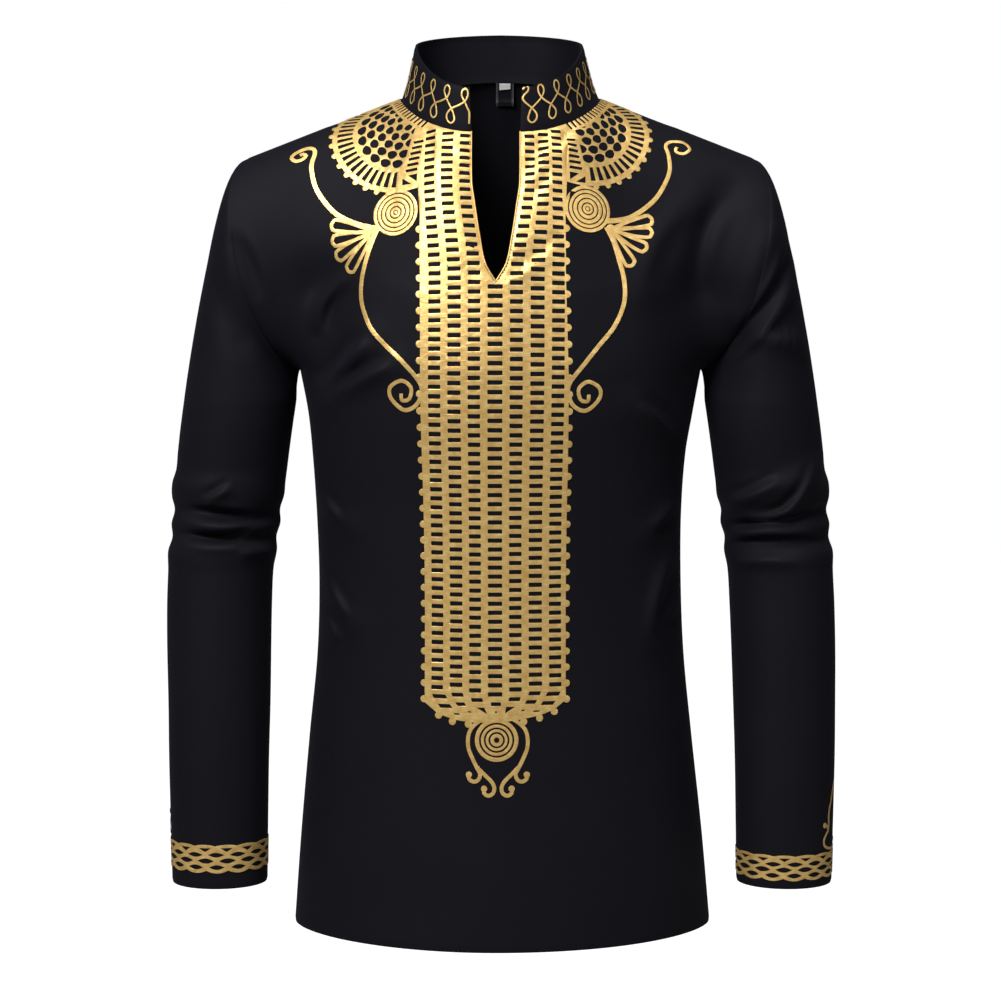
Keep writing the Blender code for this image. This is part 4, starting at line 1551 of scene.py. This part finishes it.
# %% The neck seam and the rim
# The strips run only above this level and nearer to the middle than this
RIM_LOWEST, RIM_WIDEST = -3, 160


def neck_seam():
    """The flat spots of the neck seam of the front, from left to right."""
    spots = np.array([tuple(vert.co) for vert in front.data.vertices])
    flats = {loop.vertex_index: k for k, loop in enumerate(front.data.loops)}
    pairs = flat_map(front)
    seam = []
    for column in range(-NECK_COLUMNS, NECK_COLUMNS + 1):
        place = panel_place(FRONT, RIGHT if column > 0 else LEFT, abs(column), 0)
        nearest = int(np.argmin(np.linalg.norm(spots - np.array(tuple(place)), axis=1)))
        seam.append(complex(*pairs[flats[nearest]]) / MM)
    return seam


rim = flat_rim(front, lambda spot: spot.imag > RIM_LOWEST and abs(spot.real) < RIM_WIDEST)
neck_spots = neck_seam()
print(f"the neck seam runs from {neck_spots[0]:.1f} to {neck_spots[-1]:.1f}")

# %% [markdown]
# ### Tendrils and fans
#
# A tendril is one brush stroke along a smooth line through a few points. A petal is the same stroke,
# laid as a closed loop. The two strokes of the foot are drawn once and mirrored.

# %% Tendrils and petals
STROKE = 3.2
LINE_STEP = 2.2
# Where a petal bends outwards, as a share of its length, and its share of the half width there
PETAL_BEND, PETAL_BEND_WIDTH = 0.45, 0.62
# Its share of the half width near the tip, and how far on that lies, as a share of the width
PETAL_TIP_WIDTH, PETAL_TIP_REACH = 0.72, 0.26
PETAL_STEP = 1.8
FAN_DOT = 4.4
BALL_RADIUS = 2.7
FOOT_AXIS = 1.9
# The strokes of the left side, then those of the right: points of each, width at its start and end
TENDRILS = (
    ((-175 + 128.2j, -172.7 + 129.6j, -169.6 + 127.2j, -172.7 + 123.7j, -178 + 122.4j,
      -182.4 + 125.9j, -181 + 130j, -174.7 + 133.9j, -168.1 + 135.5j, -162.9 + 133j, -162 + 127.6j,
      -163.8 + 120.2j, -163.9 + 111.2j, -158.8 + 91.8j, -143.6 + 70.3j, -124.9 + 58j, -107.4 + 51.6j,
      -97 + 50j), 3.2, 4.8),
    ((-103 + 48.5j, -108.5 + 36j, -113.2 + 22.3j, -117.4 + 5j, -116.8 - 15.4j, -107.7 - 35.4j,
      -93.4 - 52.1j, -77.5 - 66.9j, -63.6 - 82.8j, -61.2 - 92j, -65.7 - 102.8j, -76.5 - 107.1j,
      -87.6 - 97.9j, -88.4 - 88.6j, -78.4 - 82.8j, -70.2 - 88.6j, -71.8 - 97.8j, -78 - 99.2j,
      -78.8 - 93.7j), 4.2, 3.1),
    ((93 + 55.4j, 104 + 57.4j, 118.7 + 63.4j, 139.2 + 81.7j, 151.9 + 106.6j, 152.6 + 124.8j,
      150.6 + 135j, 155 + 140.9j, 166.2 + 141.5j, 172 + 134.6j, 165.5 + 128.3j, 159 + 130.8j,
      160.8 + 135.4j), 4.6, 2.6),
    ((93 + 50j, 99.5 + 38j, 104.5 + 22j, 108.5 + 5j, 108.5 - 15.4j, 100 - 35.4j, 86.4 - 52.1j,
      74.5 - 66.9j, 62 - 82.8j, 60.2 - 91.9j, 64.7 - 102.8j, 75.5 - 107.1j, 86.6 - 97.9j,
      87.4 - 88.6j, 77.4 - 82.8j, 69.2 - 88.6j, 70.8 - 97.8j, 77 - 99.2j, 77.8 - 93.7j), 4.2, 3.1),
)
# The left strokes of the foot
FOOT_TENDRILS = (
    ((-10 - 373.4j, -16.2 - 377.5j, -21 - 382.5j, -23.3 - 389.5j, -23.2 - 398.3j, -20.4 - 406j,
      -15.9 - 415.5j, -13 - 421.2j, -14.9 - 426.3j, -18.8 - 427.6j, -22.4 - 425.3j,
      -22.8 - 421.7j), 3.2, 3.4),
    ((-16.2 - 414.7j, -9.2 - 421.7j, -3.4 - 427.6j, -1.1 - 433j, -2.4 - 437.7j, -6.4 - 439.5j,
      -9.7 - 437.2j, -9.7 - 433.6j), 3.2, 3.4),
)
BALLS = (-22.6 - 421.7j, -9.7 - 433.6j)
# Where the petals of a fan meet, the far ends of its petals, and how wide a petal is
FANS = (
    (-106.5 + 47.5j, (-147.8 + 59.8j, -147.8 + 43.6j, -144.5 + 27.8j, -132.4 + 13.6j), 13.2),
    (97.5 + 48.5j, (136.8 + 62.2j, 136.4 + 48.6j, 130.6 + 32.6j, 116.8 + 16.4j), 12.4),
)


def petal(root, tip, width):
    """The outline of an open petal: a loop that leaves its root narrow and rounds off at its tip."""
    axis = (tip - root) / abs(tip - root)
    far = tip - axis * width / 2
    side = 1j * axis * (width / 2 - STROKE / 2)
    near = root + (far - root) * PETAL_BEND
    shoulder = far + side * PETAL_TIP_WIDTH + axis * width * PETAL_TIP_REACH
    loop = [root, near + side * PETAL_BEND_WIDTH, far + side, shoulder, tip - axis * STROKE / 2]
    other = [point - 2 * axis * ((point - root) / axis).imag * 1j for point in loop]
    return stroke(through(loop + other[-2::-1], PETAL_STEP), STROKE)


def strokes(tendrils):
    """The strokes of some tendrils."""
    golds = []
    for points, start_width, end_width in tendrils:
        golds += stroke(through(points, LINE_STEP), start_width, end_width)
    return golds


def tendrils_and_fans():
    """All the strokes of the front."""
    foot = strokes(FOOT_TENDRILS)
    balls = [disc(ball, BALL_RADIUS, 16) for ball in BALLS]
    golds = strokes(TENDRILS) + foot + mirrored(foot + balls, FOOT_AXIS) + balls
    for root, tips, width in FANS:
        golds.append(disc(root, FAN_DOT, 20))
        for tip in tips:
            golds += petal(root, tip, width)
    return golds


print(len(tendrils_and_fans()), "steps in the strokes of the front")

# %% [markdown]
# ### The film on the front
#
# All gold shapes and all dark ones of the front are cut at once, so that they join without a seam.
# Laid on the worn front, the drawing would reach a trace too far down, so it is shortened below the
# slit.

# %% The film on the front
# How much of its length the drawing keeps below the slit
LENGTH_KEPT = 0.9935


def shortened(shapes):
    """The shapes, drawn up a little below the tip of the slit."""
    return [[complex(p.real, p.imag * (LENGTH_KEPT if p.imag < 0 else 1.0)) for p in shape]
            for shape in shapes]


golds = panel_golds()
slots = panel_slots() + neck_notches(LEFT) + neck_notches(RIGHT) + rim
for side in (LEFT, RIGHT):
    more_golds, more_slots = rosette(side)
    golds += more_golds
    slots += more_slots + wedge_slots(side)
for row in ROUNDELS:
    more_golds, more_slots = roundel(*row)
    golds += more_golds
    slots += more_slots
golds += tendrils_and_fans()
front_print = lay_film("gold_print_front", front, shortened(golds), shortened(slots))

# %% [markdown]
# ## The bands round the cuffs
#
# Round each cuff runs a band of crossing waves. Seen as shapes, it is a gold strip with scalloped
# edges, three rows of lens-shaped holes and a row of small shallow ones on top, each row set half a
# wave aside from the last. About thirteen waves go round the cuff, and the last one is cut at the
# underarm seam. Above the band, on the outer side of the sleeve, two tendrils lean to each other.

# %% Cuff bands
WAVE_PITCH = 18.95
CUFF_REACH = 128.0
STEPS_A_WAVE = 18
WAVES_ASIDE = 15
# The strip's edges below and above its third row of holes, and how far and how bluntly they wave
BAND_BELOW, BAND_BELOW_WAVE = 8.0, 2.4
BAND_ABOVE, BAND_ABOVE_WAVE = 12.3, 1.3
WAVE_BLUNTNESS = 0.8
# Height above the third row, share of a wave aside, length and height of its holes
HOLE_ROWS = ((5.1, 0.5, 14.4, 4.2), (0.0, 0.0, 14.8, 4.7), (-5.4, 0.5, 13.6, 4.4))
TOP_HOLE = (-5.4 + 10.8j, 5.4 + 10.8j, 2.2 + 8.8j, 7.6j, -2.2 + 8.8j)
# One side of the tendrils of the right sleeve, in flat millimetres from its outer line
SLEEVE_TENDRILS = (
    (-13 - 331j, -17.5 - 342j, -20 - 350j, -22.4 - 356j, -23.4 - 363j, -22.9 - 370j, -23.4 - 377j),
    (-28.9 - 370.6j, -25.6 - 371.8j, -23.2 - 375.6j),
    (-23.4 - 376j, -27.4 - 380.1j, -29.3 - 384.4j, -28.2 - 388.2j, -24 - 391j, -15.3 - 392.6j,
     -6 - 390.6j, 0 - 386j),
)
TENDRIL_WIDTH = 2.4
TENDRIL_STEP = 1.6
TENDRIL_BALL = 2.4


def cuff_band(phase, middle, stretch):
    """The band of a cuff: its gold strip and its holes."""
    lower, upper = [], []
    for p in np.arange(-CUFF_REACH, CUFF_REACH + 0.1, WAVE_PITCH / STEPS_A_WAVE):
        wave = math.pi * (p - phase) / WAVE_PITCH
        below = BAND_BELOW + BAND_BELOW_WAVE * abs(math.sin(wave)) ** WAVE_BLUNTNESS
        above = BAND_ABOVE + BAND_ABOVE_WAVE * abs(math.cos(wave)) ** WAVE_BLUNTNESS
        lower.append(complex(p, middle - stretch * below))
        upper.append(complex(p, middle + stretch * above))
    slots = []
    for k in range(-WAVES_ASIDE, WAVES_ASIDE + 1):
        centre = complex(phase + k * WAVE_PITCH, middle)
        if abs(centre.real) < CUFF_REACH:
            slots.append([centre + complex(p.real, p.imag * stretch) for p in TOP_HOLE])
            for above, aside, length, height in HOLE_ROWS:
                place = centre + complex(aside * WAVE_PITCH, above * stretch)
                slots.append(leaf(place, length, height))
    return [lower + upper[::-1]], slots


def sleeve_tendrils(shift):
    """The two tendrils above a band, moved as a whole."""
    golds = [disc(SLEEVE_TENDRILS[1][0], TENDRIL_BALL, 16)]
    for points in SLEEVE_TENDRILS:
        golds += stroke(through(points, TENDRIL_STEP), TENDRIL_WIDTH)
    golds += mirrored(golds, 0.0)
    return [[point + shift for point in shape] for shape in golds]


def print_sleeve(name, piece, phase, middle, stretch, shift):
    """Lay the whole print of a sleeve."""
    golds, slots = cuff_band(phase, middle, stretch)
    return lay_film(name, piece, golds + sleeve_tendrils(shift), slots)


left_cuff_print = print_sleeve("gold_print_sleeve_left", sleeve_left, phase=55.0, middle=-399.3,
                               stretch=1.05, shift=-26 + 8.4j)
right_cuff_print = print_sleeve("gold_print_sleeve_right", sleeve_right, phase=-67.0, middle=-407.3,
                                stretch=0.95, shift=0j)

# %% [markdown]
# ## The chain on the collar
#
# One thin line runs round the collar in loops, upright ones near the rim and hanging ones near the
# seam. It starts with a short tick on the left and with a small hook on the right, and both chains
# end near the middle of the back. The flat map counts from there.

# %% Collar chain
CHAIN_WIDTH = 1.4
CHAIN_STEP = 1.4
# How far above the neck seam the upper loops start, and the lower ones below those
LOOP_START = 25.2
LOOP_DROP = 7.8
CROSSING_SAG = 0.3j
# Each loop as steps from the point where the line crosses itself
UPPER_LOOP = (0, -2.8 + 5.2j, -1.8 + 9.4j, 0.8 + 11.1j, 2.9 + 9j, 2.6 + 4.6j, 0)
LOWER_LOOP = (0, -3.9 - 5.6j, -3 - 10.4j, 0.6 - 12.3j, 3.3 - 9j, 2.1 - 3.8j, 0)
TICK = (218 + 6.3j, 218.3 + 16j, 216.9 + 19.8j)
HOOK = (222 + 35.6j, 219.6 + 38.2j, 216.8 + 37.4j, 217.3 + 34.4j, 219.8 + 31.8j, 221.8 + 29.2j,
        221.4 + 26.6j, 217.4 + 22.6j)


def chain(start, first, period, to_lower, rise, count):
    """The line of one chain, from the slit to the back."""
    points = list(start)
    for k in range(count):
        upper = complex(first - period * k, LOOP_START + rise)
        lower = upper - complex(to_lower, LOOP_DROP)
        points += [upper + step for step in UPPER_LOOP] + [(upper + lower) / 2 - CROSSING_SAG]
        points += [lower + step for step in LOWER_LOOP]
    return points


left_chain = chain(TICK, first=214.6, period=17.8, to_lower=12.0, rise=0.0, count=12)
hook = HOOK + tuple(213.9 + 19.4j + step for step in LOWER_LOOP)
right_chain = chain(hook, first=204.7, period=17.4, to_lower=8.9, rise=2.2, count=12)
chains = stroke(through(left_chain, CHAIN_STEP), CHAIN_WIDTH)
chains += mirrored(stroke(through(right_chain, CHAIN_STEP), CHAIN_WIDTH), 0.0)
collar_print = lay_film("gold_print_collar", collar, chains, [])

# %% [markdown]
# ## Label and size tab
#
# Inside the back neck hangs a small label of black satin, a folded ribbon with a painted sheen, a
# paler colour, along both its edges. A white tab of tape is sewn in over its top. Both are left
# bare of writing.

# %% Label and tab
LABEL_CENTRE = 0.004
LABEL_BELOW_SEAM = 0.0008
LABEL_WIDTH = 0.016
LABEL_LENGTH = 0.020
LABEL_STEP = 0.001
LABEL_CLEARANCE = 0.0009
LABEL_BEND = 0.0012
# Where the label's fold lies on its length, and how wide it is, as shares of the length
FOLD_DOWN, FOLD_SPREAD = 0.84, 0.09
TAG_WALL = 0.0005
TAB_WIDTH = 0.010
TAB_LENGTH = 0.00552
TAB_SLANT = 0.16
TAG_COLUMNS, TAG_ROWS = 16, 20
SLOPE_STEP = 0.01
# Where the painted sheen along each edge of the ribbon starts and is full, from its middle
PAINTED_SHEEN_FROM, PAINTED_SHEEN_FULL = 0.0056, 0.0074


def satin_ribbon():
    """Glossy black satin, its edges painted paler as a painted sheen."""
    material, tree, shader = new_finish("black_satin_ribbon", {
        "Roughness": 0.28, "Sheen Weight": 0.25, "Sheen Roughness": 0.3})
    place = add_node(tree, "ShaderNodeTexCoord")
    parts = add_node(tree, "ShaderNodeSeparateXYZ", links={"Vector": place.outputs["UV"]})
    aside = add_node(tree, "ShaderNodeMath", {"operation": "ABSOLUTE"}, {0: parts.outputs["X"]})
    # The mask of the painted sheen: the colour turns paler towards both edges of the ribbon.
    edge = add_node(tree, "ShaderNodeMapRange", {"From Min": PAINTED_SHEEN_FROM, "From Max": PAINTED_SHEEN_FULL},
                    {"Value": aside.outputs["Value"]})
    dye_and_painted_sheen = {"data_type": "RGBA", 6: colour("#17171a"), 7: colour("#55555a")}
    dye = add_node(tree, "ShaderNodeMix", dye_and_painted_sheen, {0: edge.outputs["Result"]})
    tree.links.new(dye.outputs[2], shader.inputs["Base Color"])
    weave = add_weave(tree, place.outputs["UV"], 2 * WEAVE_SCALE)
    bump = add_node(tree, "ShaderNodeBump", {"Strength": 0.2, "Distance": 0.0002}, {"Height": weave})
    tree.links.new(bump.outputs["Normal"], shader.inputs["Normal"])
    return material


def white_tape():
    """Matt white cotton tape."""
    material, tree, shader = new_finish("white_cotton_tape", {
        "Base Color": colour("#f2f2f0"), "Roughness": 0.8, "Sheen Weight": 0.1})
    place = add_node(tree, "ShaderNodeTexCoord")
    weave = add_weave(tree, place.outputs["UV"], 2 * WEAVE_SCALE)
    bump = add_node(tree, "ShaderNodeBump", {"Strength": 0.3, "Distance": 0.0002}, {"Height": weave})
    tree.links.new(bump.outputs["Normal"], shader.inputs["Normal"])
    return material


def back_inside(x, z, depth):
    """A point inside the shirt, at this depth before the back panel's outer face."""
    station = station_at(BACK, z)
    centre = yoke_point(BACK, RIGHT, 0.0, station)
    below = yoke_point(BACK, RIGHT, 0.0, station + SLOPE_STEP)
    slope = (below - centre).normalized()
    return centre + Vector((x, 0.0, 0.0)) + Vector((0.0, -abs(slope.z), -slope.y)) * depth


def lay_tag(name, node, width, length, depth, finish, slant, bend):
    """A small ribbon that hangs from the neck seam, bent a little as it was folded."""
    mesh = grid_of(TAG_COLUMNS, TAG_ROWS)
    top = NECK_RISE + BACK_NECK_RISE - LABEL_BELOW_SEAM
    flats = {}
    for vert in mesh.verts:
        column, row = column_and_row(vert, TAG_COLUMNS, TAG_ROWS)
        across, down = column / TAG_COLUMNS - 0.5, row / TAG_ROWS
        ridge = math.exp(-(((down - FOLD_DOWN) / FOLD_SPREAD) ** 2))
        fold = bend * (ridge + abs(across) / 2)
        reach = length * (1 - slant * (across + 0.5))
        vert.co = back_inside(LABEL_CENTRE + width * across, top - reach * down, depth + fold)
        flats[vert] = (across * width, -down * reach)
    add_flat(mesh, flats)
    mesh.normal_update()
    return new_piece(name, mesh, finish, TAG_WALL, [node])


label_depth = WALL + LABEL_CLEARANCE + LABEL_STEP
tab_depth = label_depth + LABEL_STEP + SEAM_GAP
label = lay_tag("satin_label", "neck_label", LABEL_WIDTH, LABEL_LENGTH, label_depth,
                satin_ribbon(), slant=0.0, bend=LABEL_BEND)
tab = lay_tag("white_tab", "size_tab", TAB_WIDTH, TAB_LENGTH, tab_depth,
              white_tape(), slant=TAB_SLANT, bend=0.0)
for tag in (label, tab):
    print(tag.name, tuple(round(v, 4) for v in tag.data.vertices[0].co))

# %% [markdown]
# ## Edge and stitches of the slit
#
# The edge of the slit is turned in, which makes a thin rounded fold. Small stitches hold it, dark ones
# that show on the right side, and gold ones on the left, where the foil was pressed over them. A few
# pale stitches close the tip.

# %% Slit edge and stitches
EDGE_RADIUS = 0.0007
STITCH_PITCH = 3.0
STITCH_LENGTH = 0.0021
STITCH_RADIUS = 0.00032
STITCH_INSIDE = 0.0016
EDGE_INSIDE = 0.0002
CORD_SIDES = 6
# The stitches at the tip: where each row starts, from the tip, and how much it rises
TIP_STITCHES = ((-0.0092, 0.0024, -0.003), (-0.0048, -0.0012, 0.0002), (-0.0006, -0.0010, 0.0034))
TIP_REACH = 0.0096
TIP_LIFT = 0.0003


def slit_line(half, inside):
    """The worn edge of the slit from the neck to the tip, moved into the cloth by a distance."""
    places = [panel_place(FRONT, half, 0, row) for row in range(SLIT_ROWS + 1)]
    return [spot + Vector((half * inside, -FILM_LIFT, 0.0)) for spot in worn(places)]


def lay_cord(name, lines, radius, finish):
    """A thin round cord along each line."""
    mesh = bmesh.new()
    angles = [math.tau * j / CORD_SIDES for j in range(CORD_SIDES)]
    rim = [Vector((radius * math.cos(a), radius * math.sin(a), 0.0)) for a in angles]
    for line in lines:
        rings = []
        for k, spot in enumerate(line):
            along_line = (line[min(k + 1, len(line) - 1)] - line[max(k - 1, 0)]).normalized()
            turned = along_line.to_track_quat("Z", "Y")
            rings.append([mesh.verts.new(spot + turned @ corner) for corner in rim])
        for here, after in zip(rings, rings[1:]):
            for j in range(CORD_SIDES):
                mesh.faces.new([here[j], here[j - 1], after[j - 1], after[j]])
    bmesh.ops.recalc_face_normals(mesh, faces=mesh.faces)
    return new_piece(name, mesh, finish, 0.0, [])


def lay_stitches(name, rows, finish):
    """Rows of stitches. Each one is a small stretched ball along its row."""
    mesh = bmesh.new()
    for row in rows:
        run = np.cumsum([0.0] + [(b - a).length for a, b in zip(row, row[1:])])
        for reach in np.arange(STITCH_PITCH * MM, run[-1], STITCH_PITCH * MM):
            k = int(np.searchsorted(run, reach)) - 1
            step = row[k + 1] - row[k]
            place = row[k] + step * ((reach - run[k]) / step.length)
            shape = Matrix.LocRotScale(place, step.to_track_quat("Z", "Y"),
                                       (STITCH_RADIUS, STITCH_RADIUS, STITCH_LENGTH / 2))
            bmesh.ops.create_uvsphere(mesh, u_segments=6, v_segments=4, radius=1.0, matrix=shape)
    print(f"{name}: {len(mesh.faces)} faces")
    return new_piece(name, mesh, finish, 0.0, [])


def sewing_thread(name, code):
    """Spun polyester thread."""
    return new_finish(name, {"Base Color": colour(code), "Roughness": 0.5, "Sheen Weight": 0.2})[0]


dark_thread = sewing_thread("dark_polyester_thread", "#17140f")
pale_thread = sewing_thread("pale_polyester_thread", "#efe6c4")
edge_lines = [slit_line(half, EDGE_INSIDE) for half in (LEFT, RIGHT)]
slit_edge = lay_cord("slit_edge", edge_lines, EDGE_RADIUS, gold_finish)
dark_stitches = lay_stitches("stitches_dark", [slit_line(RIGHT, STITCH_INSIDE)], dark_thread)
gold_stitches = lay_stitches("stitches_gold", [slit_line(LEFT, STITCH_INSIDE)], gold_finish)
tip_spot = slit_line(RIGHT, 0.0)[-1]
tip_rows = []
for x, z, rise in TIP_STITCHES:
    row_start = tip_spot + Vector((x, -TIP_LIFT, z))
    tip_rows.append([row_start, row_start + Vector((TIP_REACH, 0.0, rise))])
tip_stitches = lay_stitches("stitches_tip", tip_rows, pale_thread)

# %% [markdown]
# ## The area of the cloth
#
# Each piece of cloth prints how many square metres its faces cover.

# %% Areas of the cloth
for piece in (front, back, sleeve_left, sleeve_right, collar):
    print(f"{piece.name}: {sum(face.area for face in piece.data.polygons):.4f} square metres")
